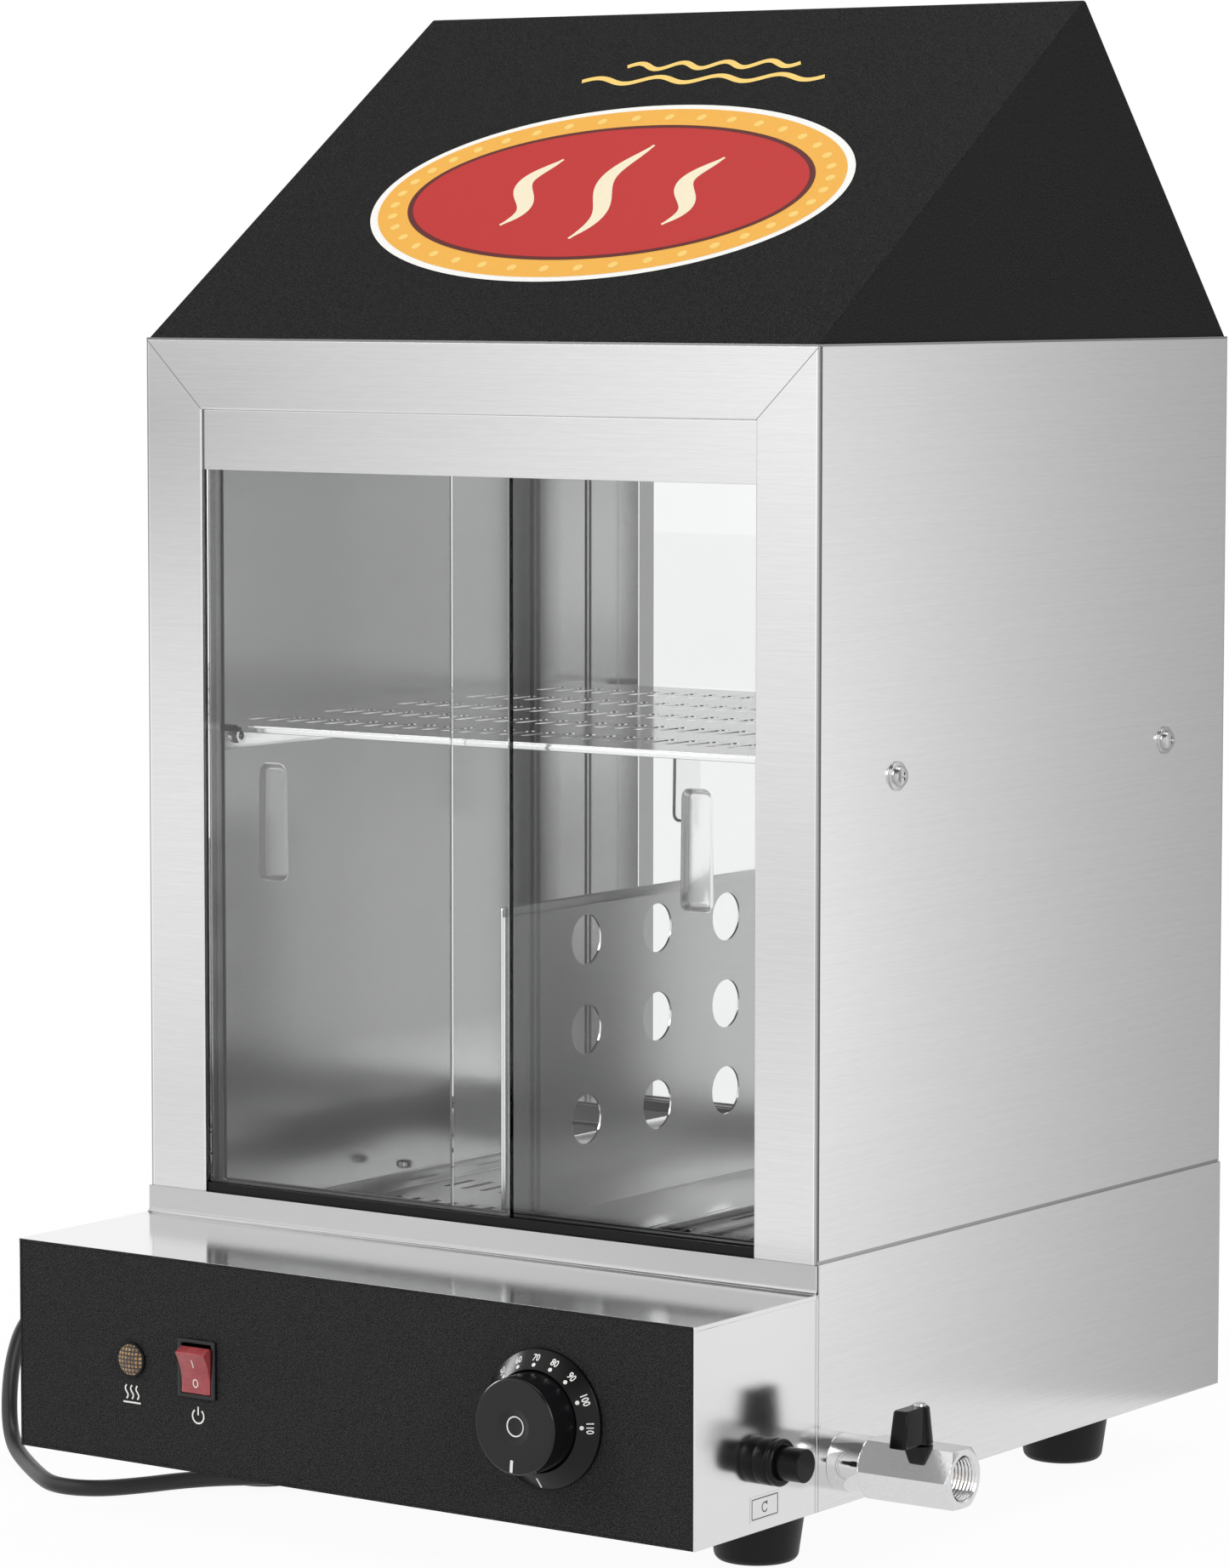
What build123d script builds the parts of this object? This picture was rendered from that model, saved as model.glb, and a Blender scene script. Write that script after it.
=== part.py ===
"""Hot dog steamer: a stainless cabinet with sliding doors over a heated water tank.

The cabinet's frame has x across the front, y from the front face to the back and z up from
the underside of the base, in millimetres. Each finished piece is moved once, when it is
written, to the part's frame, whose origin is under the middle of the whole object on the floor.
"""

from build123d import *
from math import cos, pi, radians, sin, tan
import os

# ---- driving dimensions ------------------------------------------------------------------

# cabinet and base
sheet = 1.0
cabinet_half = 190.0
cabinet_depth = 360.0
base_half = cabinet_half + sheet
base_back = cabinet_depth + sheet
base_height = 110.3
foot_height = 31.5
cabinet_top = 514.6
wall_inside = cabinet_half - sheet
frame_thickness = 1.2

# control box in front of the base
box_front = -94.5
box_top = 97.5
panel_thickness = 1.5
panel_back = box_front + panel_thickness
lip_proud = 0.4
lip_height = 2.0

# canopy
canopy_half = 189.2
canopy_front = 0.8
canopy_back = cabinet_depth - canopy_front
ridge_y = 224.0
ridge_height = 156.4
ridge_radius = 3.0
ridge_loss = 1.0
canopy_flange = 15.0

# doorways, tracks and panes
front_opening_half = 157.0
rear_opening_half = 147.0
opening_top = 481.2
return_depth = 15.0
fascia_bottom = 453.0
fascia_front = 1.5
track_front = 1.5
track_back = 19.5
track_top = 114.6
groove_floor = 111.9
groove_width = 4.8
outer_groove = 5.0
inner_groove = 15.0
top_track_bottom = 463.0
top_groove_roof = 474.0
pane_thickness = 4.0
pane_bottom = 112.0
pane_top = 472.0
pane_overlap_half = 20.0
pane_gap = 0.2
well_offset = 117.3
well_middle = 288.5
well_length = 56.2
well_widths = (17.0, 18.4)
well_corner = 5.5
well_depth = 1.8

# deck, tank, tray, shelf and divider
deck_top = 99.0
sill_depth = 20.0
deck_opening = (104.0, 30.0, 330.0)
deck_lip_top = 103.4
tank_half = 112.0
tank_front = 8.0
tank_back = 335.0
tank_bottom = 6.0
tank_flange = 5.0
tray_half = 109.0
tray_front = 27.5
tray_back = cabinet_depth - tray_front
tray_top = deck_lip_top + sheet
tray_rim = 112.4
slot = (4.4, 25.0)
slot_rows = 5
slot_row_pitch = 58.5
shelf_top = 331.6
shelf_front = 21.0
shelf_back = cabinet_depth - shelf_front
shelf_flange = 16.0
shelf_screw_y = (64.4, 302.8)
shelf_screw_z = 322.0
divider_gap = 0.3
divider_top = 254.0
divider_foot = 66.5
divider_hem = 5.0
divider_hem_thickness = 1.6
vent_hole_radius = 11.75

# controls
dial = (111.5, 48.6)
lamp = (-123.3, 48.0)
switch = (-84.0, 48.1)
switch_size = (22.2, 27.2)
switch_proud = 1.6
switch_body_step = 0.8
switch_well = (17.2, 23.2)
switch_well_depth = 17.0
rocker_half = 8.3
rocker_pin = (1.5, 9.7)
rocker_pivot_y = -92.0
rocker_rest_angle = 14.0
ring_radius = 30.9
ring_height = 8.0
ring_edge = 1.8
knob_radius = 22.5
knob_face = -117.5
knob_dimple = (8.0, 1.6)
spindle_radius = 3.0
reset = (-41.0, 30.7)
reset_collar = 10.0
reset_button_end = 212.6

# drain valve
drain = (20.6, 19.6)
drain_bore = 7.5
hex_start = 207.5
hex_end = 255.0
hex_flats = 26.0
ball_centre_x = 231.5
ball_radius = 9.0
stem_radius = 3.5
lever_bottom = 33.0

# heating element and sensor
element_half = 60.0
element_height = 22.0
element_radius = 4.0
element_back = 240.0
sensor = (85.0, 40.0)

# feet
foot_x = 142.0
foot_y = (25.5, 293.5)
foot_top_radius = 23.1
foot_bottom_radius = 18.8

# mains cord: its diameter is measured, its length is the usual one for such a machine
cord_radius = 3.9
cord_length = 1800.0
floor = -foot_height
cord_floor = floor + cord_radius + 0.1
gland = (132.0, 50.0)
gland_length = 32.0
coil_radius = 45.0
coil_section = 16.4
coil_centre = (-143.0, 464.0)
plug_radius = 18.5
plug_length = 42.0

# the cord's route from the gland, down to the floor, round in front of the left foot and
# back under the base
cord_route = [
    (-base_half - gland_length, gland[0], gland[1]),
    (-261.0, gland[0], gland[1]),
    (-294.0, 116.0, 47.0),
    (-311.0, 86.0, 39.0),
    (-313.0, 60.0, 30.0),
    (-308.0, 39.0, 22.0),
    (-295.0, 17.0, 10.0),
    (-285.0, 3.0, -4.0),
    (-277.5, -5.0, -17.5),
    (-266.0, -14.0, -25.0),
    (-246.0, -28.0, cord_floor),
    (-220.0, -47.5, cord_floor),
    (-207.0, -55.0, cord_floor),
    (-196.0, -56.0, cord_floor),
    (-185.6, -52.6, cord_floor),
    (-177.3, -45.4, cord_floor),
    (-168.8, -30.7, cord_floor),
    (-160.0, -16.5, cord_floor + 0.6),
    (-142.0, -6.0, -25.0),
    (-122.0, 6.0, -24.4),
    (-106.0, 27.0, -25.0),
    (-99.0, 62.0, cord_floor),
    (-96.0, 120.0, cord_floor),
    (-98.5, 190.0, cord_floor),
    (-95.0, 262.0, cord_floor),
    (-97.5, 335.0, cord_floor),
    (-94.0, 400.0, cord_floor),
    (-98.0, 464.0, cord_floor),
]

# the short end from the coil to the plug
tail_route = [
    (-143.0, 419.0, floor + 12.5),
    (-126.0, 418.5, floor + 14.0),
    (-107.0, 420.0, floor + 16.0),
    (-87.0, 424.0, floor + 16.5),
    (-67.0, 428.0, floor + 17.5),
    (-47.0, 431.0, floor + plug_radius),
    (-29.0, 433.0, floor + plug_radius),
    (-11.0, 434.5, floor + plug_radius),
]

# the part's frame: under the middle of the whole object, on the floor
screw_head_end = cabinet_half + 4.2
origin_x = (hex_end - screw_head_end) / 2
origin_y = (base_back + knob_face) / 2

os.makedirs("parts", exist_ok=True)


# ---- helpers -----------------------------------------------------------------------------

def across(y):
    """Plane facing the front at depth y, with sketch axes along x and z."""
    return Plane.XZ.offset(-y)


def beside(x):
    """Plane facing right at x, with sketch axes along y and z."""
    return Plane.YZ.offset(x)


def level(z):
    """Plane facing up at height z, with sketch axes along x and y."""
    return Plane.XY.offset(z)


def rectangle_on(plane, low, high, radius=0.0):
    """Rectangle between two opposite corners, with rounded corners where a radius is given."""
    width, height = high[0] - low[0], high[1] - low[1]
    with BuildSketch(plane) as face:
        with Locations(((low[0] + high[0]) / 2, (low[1] + high[1]) / 2)):
            if radius:
                RectangleRounded(width, height, radius)
            else:
                Rectangle(width, height)
    return face.sketch


def discs_on(plane, centres, radius):
    """Equal circles at the given centres of a plane."""
    with BuildSketch(plane) as face:
        with Locations(*centres):
            Circle(radius)
    return face.sketch


def folded_sheet(plane, points, radius, side=Side.RIGHT):
    """Face of a sheet bent along a line, which is the sheet's seen surface."""
    with BuildSketch(plane) as face:
        with BuildLine():
            FilletPolyline(*points, radius=radius)
            offset(amount=sheet, side=side)
        make_face()
    return face.sketch


def turned(axis_point, axis_direction, points):
    """Solid of revolution from (distance along the axis, radius) points."""
    plane = Plane(origin=axis_point, x_dir=axis_direction, z_dir=side_of(axis_direction))
    with BuildSketch(plane) as face:
        with BuildLine():
            Polyline(*points, close=True)
        make_face()
    return revolve(face.sketch, axis=Axis(axis_point, axis_direction), mode=Mode.PRIVATE)


def side_of(direction):
    """A unit direction square to the given axis direction."""
    return (0, 0, 1) if abs(direction[2]) < 0.5 else (1, 0, 0)


def save(piece, name):
    """Label a piece, move it from the cabinet's frame to the part's frame and write it."""
    piece.part.label = name
    placed = piece.part.moved(Location((-origin_x, -origin_y, foot_height)))
    placed.label = name
    export_step(placed, f"parts/{name}.step")


def slot_field(columns, pitch):
    """Centres of the vent slots of a shelf or tray: rows along y, columns along x."""
    middle_y = cabinet_depth / 2
    rows = [middle_y + (row - (slot_rows - 1) / 2) * slot_row_pitch for row in range(slot_rows)]
    lines = [(column - (columns - 1) / 2) * pitch for column in range(columns)]
    return [(x, y) for y in rows for x in lines]


# ---- casing ------------------------------------------------------------------------------

def make_base_shell():
    """Three outer walls of the base and the partition behind the control box."""
    with BuildPart() as base_shell:
        with BuildSketch(level(0)):
            with Locations((0, base_back / 2)):
                Rectangle(2 * base_half, base_back)
            with Locations((0, (sheet + cabinet_depth) / 2)):
                Rectangle(2 * cabinet_half, cabinet_depth - sheet, mode=Mode.SUBTRACT)
        extrude(amount=base_height)
        rear_corners = base_shell.edges().filter_by(Axis.Z).filter_by_position(Axis.Y, base_back, base_back)
        fillet(rear_corners, 1.5)
        partition_top = box_top - sheet
        extrude(rectangle_on(across(sheet), (-base_half, partition_top), (base_half, base_height)),
                amount=sheet, mode=Mode.SUBTRACT)
        extrude(rectangle_on(across(sheet), (-cabinet_half, 0), (cabinet_half, sheet)),
                amount=sheet, mode=Mode.SUBTRACT)
        holes = [(-element_half, element_height), (element_half, element_height)]
        extrude(discs_on(across(sheet), holes, element_radius), amount=sheet, mode=Mode.SUBTRACT)
        extrude(discs_on(across(sheet), [sensor], spindle_radius), amount=sheet, mode=Mode.SUBTRACT)
        extrude(discs_on(beside(cabinet_half), [drain], drain_bore + 3), amount=sheet,
                mode=Mode.SUBTRACT)
        extrude(discs_on(beside(-base_half), [gland], 7.0), amount=sheet, mode=Mode.SUBTRACT)
    return base_shell


def make_control_box_shell():
    """Top, skirt and side walls of the control box, with the flanges that hold its panel."""
    bend = [(box_front, box_top), (-sheet, box_top), (-sheet, base_height)]
    with BuildPart() as control_box_shell:
        extrude(folded_sheet(beside(-base_half), bend, 2.5), amount=2 * base_half)
        for side in (-1, 1):
            inner = side * cabinet_half
            outer = side * base_half
            wall = rectangle_on(beside(inner), (box_front, 0), (0, box_top - sheet))
            extrude(wall, amount=side * sheet)
            lip = rectangle_on(beside(outer), (box_front, box_top - lip_height), (0, box_top))
            extrude(lip, amount=side * lip_proud)
            low, high = sorted((inner, inner - side * 9))
            flange = rectangle_on(across(panel_back), (low, sheet), (high, box_top - sheet))
            extrude(flange, amount=-sheet)
        stem_hole = discs_on(beside(cabinet_half), [reset], 2.3)
        extrude(stem_hole, amount=sheet, mode=Mode.SUBTRACT)
    return control_box_shell


def make_control_panel():
    """Front panel with the openings for the lamp, the switch and the thermostat's spindle."""
    body = (switch_size[0] - 2 * switch_body_step, switch_size[1] - 2 * switch_body_step)
    with BuildPart() as control_panel:
        extrude(rectangle_on(across(panel_back), (-cabinet_half, 0),
                             (cabinet_half, box_top - sheet)), amount=panel_thickness)
        extrude(discs_on(across(panel_back), [lamp], 6.0), amount=panel_thickness,
                mode=Mode.SUBTRACT)
        extrude(discs_on(across(panel_back), [dial], spindle_radius + 0.05),
                amount=panel_thickness, mode=Mode.SUBTRACT)
        low = (switch[0] - body[0] / 2, switch[1] - body[1] / 2)
        high = (switch[0] + body[0] / 2, switch[1] + body[1] / 2)
        extrude(rectangle_on(across(panel_back), low, high), amount=panel_thickness,
                mode=Mode.SUBTRACT)
    return control_panel


def make_bottom_plate():
    """Floor plate of the base, with foot screw holes and cooling slots under the controls."""
    foot_holes = [(x, y) for x in (-foot_x, foot_x) for y in foot_y]
    with BuildPart() as bottom_plate:
        extrude(rectangle_on(level(0), (-cabinet_half, panel_back), (cabinet_half, cabinet_depth)),
                amount=sheet)
        extrude(discs_on(level(0), foot_holes, 2.2), amount=sheet, mode=Mode.SUBTRACT)
        with BuildSketch(level(0)):
            with Locations((0, (panel_back + 0) / 2)):
                with GridLocations(12, 0, 9, 1):
                    Rectangle(3.5, 40)
        extrude(amount=sheet, mode=Mode.SUBTRACT)
    return bottom_plate


def make_side_panel(side):
    """Cabinet side wall with the flanges that the door frames close."""
    front, back = frame_thickness, cabinet_depth - frame_thickness
    flange_bottom = base_height
    with BuildPart() as side_panel:
        wall = rectangle_on(beside(side * wall_inside), (front, deck_top - sheet),
                            (back, cabinet_top - sheet))
        extrude(wall, amount=side * sheet)
        low, high = sorted((side * wall_inside, side * (wall_inside - 19)))
        for y, push in ((front, -sheet), (back, sheet)):
            flange = rectangle_on(across(y), (low, flange_bottom), (high, cabinet_top - sheet))
            extrude(flange, amount=push)
        screw_holes = [(y, shelf_screw_z) for y in shelf_screw_y]
        extrude(discs_on(beside(side * wall_inside), screw_holes, 2.0), amount=side * sheet,
                mode=Mode.SUBTRACT)
    return side_panel


def make_door_frame(opening_half):
    """Flat frame round a doorway, open at the bottom, with a return flange round the opening.

    It is made as the front frame; the rear one is turned to face the back.
    """
    top = cabinet_top - sheet
    with BuildPart() as door_frame:
        plate = rectangle_on(across(frame_thickness), (-cabinet_half, base_height),
                             (cabinet_half, top))
        extrude(plate, amount=frame_thickness)
        outer = rectangle_on(across(return_depth), (-opening_half - sheet, base_height),
                             (opening_half + sheet, opening_top + sheet))
        extrude(outer, amount=return_depth - frame_thickness)
        doorway = rectangle_on(across(return_depth), (-opening_half, base_height),
                               (opening_half, opening_top))
        extrude(doorway, amount=return_depth, mode=Mode.SUBTRACT)
        rim = door_frame.edges().filter_by_position(Axis.Y, 0, 0).filter_by_position(
            Axis.X, -opening_half, opening_half).filter_by_position(
            Axis.Z, base_height, opening_top + 0.1)
        rim = [edge for edge in rim if edge.length > sheet]
        fillet(rim, 0.8)
    return door_frame


def make_ceiling_plate():
    """Sheet that closes the chamber below the canopy."""
    with BuildPart() as ceiling_plate:
        extrude(rectangle_on(level(cabinet_top - sheet), (-cabinet_half, 0),
                             (cabinet_half, cabinet_depth)), amount=sheet)
    return ceiling_plate


def make_canopy():
    """Roof-shaped sign box of thin sheet, with a flange that stands on the ceiling plate."""
    ridge_top = cabinet_top + ridge_height + ridge_loss
    roof = [(canopy_front, cabinet_top), (ridge_y, ridge_top), (canopy_back, cabinet_top)]
    with BuildPart() as canopy:
        with BuildSketch(beside(-canopy_half)) as outline:
            with BuildLine():
                Polyline(*roof, close=True)
            make_face()
            fillet(outline.vertices().sort_by(Axis.Y)[-1], ridge_radius)
        extrude(amount=2 * canopy_half)
        gable_edges = canopy.faces().filter_by(Axis.X).edges()
        slopes = [edge for edge in gable_edges if edge.center().Z > cabinet_top + sheet]
        fillet(slopes, 0.9)
        with BuildSketch(beside(sheet - canopy_half)) as hollow:
            with BuildLine():
                Polyline(*roof, close=True)
            make_face()
            offset(amount=-sheet)
        extrude(amount=2 * (canopy_half - sheet), mode=Mode.SUBTRACT)
        low = (-canopy_half + canopy_flange, canopy_front + canopy_flange)
        high = (canopy_half - canopy_flange, canopy_back - canopy_flange)
        extrude(rectangle_on(level(cabinet_top), low, high), amount=sheet, mode=Mode.SUBTRACT)
    return canopy


# ---- doorway parts -----------------------------------------------------------------------

def make_fascia(opening_half):
    """Strip that hides the top track, between the doorway's return flanges."""
    with BuildPart() as fascia:
        extrude(rectangle_on(across(fascia_front + sheet), (-opening_half, fascia_bottom),
                             (opening_half, opening_top)), amount=sheet)
    return fascia


def make_bottom_track(opening_half):
    """Plastic sill strip with two grooves for the panes."""
    with BuildPart() as bottom_track:
        extrude(rectangle_on(beside(-opening_half), (track_front, base_height),
                             (track_back, track_top)), amount=2 * opening_half)
        for groove in (outer_groove, inner_groove):
            low = (groove - groove_width / 2, groove_floor)
            high = (groove + groove_width / 2, track_top)
            extrude(rectangle_on(beside(-opening_half), low, high), amount=2 * opening_half,
                    mode=Mode.SUBTRACT)
    return bottom_track


def make_top_track(opening_half):
    """Plastic head strip with two deep grooves; the fascia closes the outer one."""
    front = fascia_front + sheet
    with BuildPart() as top_track:
        extrude(rectangle_on(beside(-opening_half), (front, top_track_bottom),
                             (track_back, opening_top)), amount=2 * opening_half)
        outer = (front, outer_groove + groove_width / 2)
        inner = (inner_groove - groove_width / 2, inner_groove + groove_width / 2)
        for low, high in (outer, inner):
            extrude(rectangle_on(beside(-opening_half), (low, top_track_bottom),
                                 (high, top_groove_roof)), amount=2 * opening_half,
                    mode=Mode.SUBTRACT)
    return top_track


def well_outline(plane, x):
    """Outline of a finger well: a rounded upright shape, a little wider at its foot."""
    top, foot = well_widths[0] / 2, well_widths[1] / 2
    high, low = well_middle + well_length / 2, well_middle - well_length / 2
    with BuildSketch(plane) as face:
        with BuildLine():
            Polyline((x - foot, low), (x + foot, low), (x + top, high), (x - top, high), close=True)
        make_face()
        fillet(face.vertices(), well_corner)
    return face.sketch


def make_pane(opening_half, side, groove):
    """Sliding pane of a front doorway, with a moulded finger well in its outer face."""
    near = side * (opening_half - pane_gap)
    far = -side * (pane_overlap_half + pane_gap)
    front = groove - pane_thickness / 2
    with BuildPart() as pane:
        extrude(rectangle_on(across(front + pane_thickness), (min(near, far), pane_bottom),
                             (max(near, far), pane_top)), amount=pane_thickness)
        extrude(well_outline(across(front), side * well_offset), amount=-well_depth, taper=30,
                mode=Mode.SUBTRACT)
    return pane


def turn_to_back(piece):
    """The same piece at the back doorway, turned half round the middle of the cabinet."""
    middle = Axis((0, cabinet_depth / 2, 0), (0, 0, 1))
    piece.part = piece.part.rotate(middle, 180)
    return piece


# ---- chamber -----------------------------------------------------------------------------

def make_deck():
    """Pressed floor of the chamber with a raised sill at both doorways and a rimmed opening."""
    back = cabinet_depth - sill_depth
    profile = [(0, base_height), (sill_depth, base_height), (sill_depth, deck_top),
               (back, deck_top), (back, base_height), (cabinet_depth, base_height)]
    half, front, rear = deck_opening
    with BuildPart() as deck:
        extrude(folded_sheet(beside(-wall_inside), profile, 1.5), amount=2 * wall_inside)
        rim_low = (-half - sheet, front - sheet)
        rim_high = (half + sheet, rear + sheet)
        extrude(rectangle_on(level(deck_top - sheet), rim_low, rim_high), amount=sheet + 4.4)
        extrude(rectangle_on(level(deck_top - sheet), (-half, front), (half, rear)),
                amount=sheet + 4.4, mode=Mode.SUBTRACT)
        screws = [(-174.6, cabinet_depth / 2), (174.6, cabinet_depth / 2)]
        extrude(discs_on(level(deck_top - sheet), screws, 2.0), amount=sheet, mode=Mode.SUBTRACT)
    return deck


def make_deck_screws():
    """Two pan-head screws that hold the deck to its brackets."""
    with BuildPart() as deck_screws:
        for x in (-174.6, 174.6):
            profile = [(-12, 0), (-12, 2.0), (0, 2.0), (0, 4.2), (1.4, 4.2), (2.4, 2.6), (2.4, 0)]
            add(turned((x, cabinet_depth / 2, deck_top), (0, 0, 1), profile))
    return deck_screws


def make_water_tank():
    """Pressed tank hung under the deck by its flange, with holes for drain, element and sensor."""
    drain_hole = drain_bore + 3
    with BuildPart() as water_tank:
        extrude(rectangle_on(level(tank_bottom), (-tank_half, tank_front),
                             (tank_half, tank_back), 6), amount=deck_top - sheet - tank_bottom)
        low = (-tank_half - tank_flange, tank_front - tank_flange)
        high = (tank_half + tank_flange, tank_back + tank_flange)
        extrude(rectangle_on(level(deck_top - 2 * sheet), low, high), amount=sheet)
        extrude(rectangle_on(level(tank_bottom + sheet), (sheet - tank_half, tank_front + sheet),
                             (tank_half - sheet, tank_back - sheet), 5),
                amount=deck_top - tank_bottom, mode=Mode.SUBTRACT)
        extrude(discs_on(beside(tank_half - sheet), [drain], drain_hole), amount=sheet,
                mode=Mode.SUBTRACT)
        legs = [(-element_half, element_height), (element_half, element_height)]
        extrude(discs_on(across(tank_front + sheet), legs, element_radius), amount=sheet,
                mode=Mode.SUBTRACT)
        extrude(discs_on(across(tank_front + sheet), [sensor], spindle_radius), amount=sheet,
                mode=Mode.SUBTRACT)
    return water_tank


def make_steam_tray():
    """Slotted tray with an upturned rim; it rests on the rim of the deck's opening."""
    with BuildPart() as steam_tray:
        extrude(rectangle_on(level(deck_lip_top), (-tray_half, tray_front), (tray_half, tray_back)),
                amount=tray_rim - deck_lip_top)
        inside = (tray_half - sheet, tray_front + sheet, tray_back - sheet)
        extrude(rectangle_on(level(tray_top), (-inside[0], inside[1]), (inside[0], inside[2])),
                amount=tray_rim - tray_top, mode=Mode.SUBTRACT)
        with BuildSketch(level(deck_lip_top)):
            with Locations(*slot_field(18, 11.2)):
                Rectangle(*slot)
        extrude(amount=sheet, mode=Mode.SUBTRACT)
    return steam_tray


def make_mid_shelf():
    """Slotted shelf with turned-down edges, screwed to both side walls."""
    with BuildPart() as mid_shelf:
        extrude(rectangle_on(level(shelf_top - sheet), (-wall_inside, shelf_front),
                             (wall_inside, shelf_back)), amount=sheet)
        for y, push in ((shelf_front, -sheet), (shelf_back, sheet)):
            hem = rectangle_on(across(y), (-wall_inside, shelf_top - 3.3),
                               (wall_inside, shelf_top - sheet))
            extrude(hem, amount=push)
        for side in (-1, 1):
            flange = rectangle_on(beside(side * wall_inside), (shelf_front, shelf_top - shelf_flange),
                                  (shelf_back, shelf_top - sheet))
            extrude(flange, amount=-side * sheet)
            holes = discs_on(beside(side * wall_inside), [(y, shelf_screw_z) for y in shelf_screw_y], 2.0)
            extrude(holes, amount=-side * sheet, mode=Mode.SUBTRACT)
        with BuildSketch(level(shelf_top - sheet)):
            with Locations(*slot_field(30, 11.6)):
                Rectangle(*slot)
        extrude(amount=sheet, mode=Mode.SUBTRACT)
    return mid_shelf


def make_shelf_screws():
    """Four pan-head screws with washers, through the side walls into the shelf's flanges."""
    profile = [(0, 6.65), (1.0, 6.65), (1.0, 4.6), (3.0, 4.4), (4.2, 2.6), (4.2, 0),
               (-8.0, 0), (-8.0, 2.0), (0, 2.0)]
    with BuildPart() as shelf_screws:
        for side in (-1, 1):
            for y in shelf_screw_y:
                add(turned((side * cabinet_half, y, shelf_screw_z), (side, 0, 0), profile))
    return shelf_screws


def make_shelf_nuts():
    """Four hexagon nuts behind the shelf's flanges."""
    face_x = wall_inside - sheet
    with BuildPart() as shelf_nuts:
        for side in (-1, 1):
            with BuildSketch(beside(side * face_x)):
                with Locations(*[(y, shelf_screw_z) for y in shelf_screw_y]):
                    RegularPolygon(3.5, 6, major_radius=False)
                    Circle(2.0, mode=Mode.SUBTRACT)
            extrude(amount=-side * 3.2)
    return shelf_nuts


def make_divider():
    """Upright partition with hemmed edges, three rows of vent holes and a foot on the tray."""
    front = tray_front + sheet + divider_gap
    back = cabinet_depth - front
    bottom = tray_top + divider_gap
    pitch_y = 58.3
    pitch_z = 42.65
    with BuildPart() as divider:
        extrude(rectangle_on(beside(-sheet), (front, bottom), (back, divider_top)), amount=sheet)
        with BuildSketch(beside(0)):
            add(rectangle_on(Plane.XY, (front, bottom), (back, divider_top)))
            add(rectangle_on(Plane.XY, (front + divider_hem, bottom + sheet),
                             (back - divider_hem, divider_top - divider_hem)), mode=Mode.SUBTRACT)
        extrude(amount=divider_hem_thickness)
        extrude(rectangle_on(level(bottom), (0, front), (divider_foot, back)), amount=sheet)
        extrude(rectangle_on(level(bottom + sheet), (divider_foot - divider_hem, front),
                             (divider_foot, back)), amount=divider_hem_thickness)
        with BuildSketch(beside(-sheet)):
            with Locations((180.95, 190.15)):
                with GridLocations(pitch_y, pitch_z, 4, 3):
                    Circle(vent_hole_radius)
        extrude(amount=sheet, mode=Mode.SUBTRACT)
    return divider


# ---- heating and sensing -----------------------------------------------------------------

def make_heating_element():
    """U-shaped immersion element with its ends brought out to the control box."""
    front = -20.0
    with BuildPart() as heating_element:
        with BuildLine() as route:
            left = Line((-element_half, front, element_height),
                        (-element_half, element_back, element_height))
            bend = TangentArc(left @ 1, (element_half, element_back, element_height),
                              tangent=left % 1)
            Line(bend @ 1, (element_half, front, element_height))
        with BuildSketch(Plane(origin=route.line @ 0, z_dir=route.line % 0)):
            Circle(element_radius)
        sweep()
    return heating_element


def make_element_nuts():
    """Hexagon nuts that clamp the element's ends to the partition."""
    with BuildPart() as element_nuts:
        with BuildSketch(across(0)):
            with Locations((-element_half, element_height), (element_half, element_height)):
                RegularPolygon(8.5, 6, major_radius=False)
                Circle(element_radius, mode=Mode.SUBTRACT)
        extrude(amount=6)
    return element_nuts


def make_thermostat_body():
    """Switch body of the thermostat behind the panel, bored for its spindle."""
    half = 18.0
    with BuildPart() as thermostat_body:
        low = (dial[0] - half, dial[1] - half)
        high = (dial[0] + half, dial[1] + half)
        extrude(rectangle_on(across(panel_back), low, high, 2), amount=-28)
        extrude(discs_on(across(panel_back), [dial], spindle_radius + 0.05), amount=-20,
                mode=Mode.SUBTRACT)
    return thermostat_body


def make_thermostat_bulb():
    """Sensor bulb in the tank, with a collar against the partition."""
    with BuildPart() as thermostat_bulb:
        profile = [(0, 0), (0, 1.2), (10, 3.0), (110, 3.0), (112, 1.5), (112, 0)]
        add(turned((sensor[0], -10, sensor[1]), (0, 1, 0), profile))
        extrude(discs_on(across(0), [sensor], 6.0), amount=4)
    return thermostat_bulb


def make_limiter_body():
    """Body of the safety cut-out inside the right wall, bored for the reset stem."""
    with BuildPart() as limiter_body:
        extrude(discs_on(beside(cabinet_half), [reset], 11.0), amount=-25)
        extrude(discs_on(beside(cabinet_half), [reset], 2.3), amount=-16, mode=Mode.SUBTRACT)
    return limiter_body


def make_terminal_block():
    """Mains terminal block on the bottom plate, with three screw wells."""
    x, y = -130.0, -50.0
    with BuildPart() as terminal_block:
        extrude(rectangle_on(level(sheet), (x - 20, y - 10), (x + 20, y + 10), 1), amount=18)
        wells = [(x + step, y) for step in (-12, 0, 12)]
        extrude(discs_on(level(sheet + 18), wells, 3.0), amount=-6, mode=Mode.SUBTRACT)
    return terminal_block


# ---- controls ----------------------------------------------------------------------------

def make_pilot_lamp():
    """Signal lamp: a rimmed lens in front of the panel and its body behind."""
    profile = [(-15, 0), (-15, 6.0), (panel_thickness, 6.0), (panel_thickness, 8.25),
               (3.0, 8.25), (3.3, 7.4), (4.0, 6.4), (4.5, 4.0), (4.7, 0)]
    with BuildPart() as pilot_lamp:
        add(turned((lamp[0], panel_back, lamp[1]), (0, -1, 0), profile))
    return pilot_lamp


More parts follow.
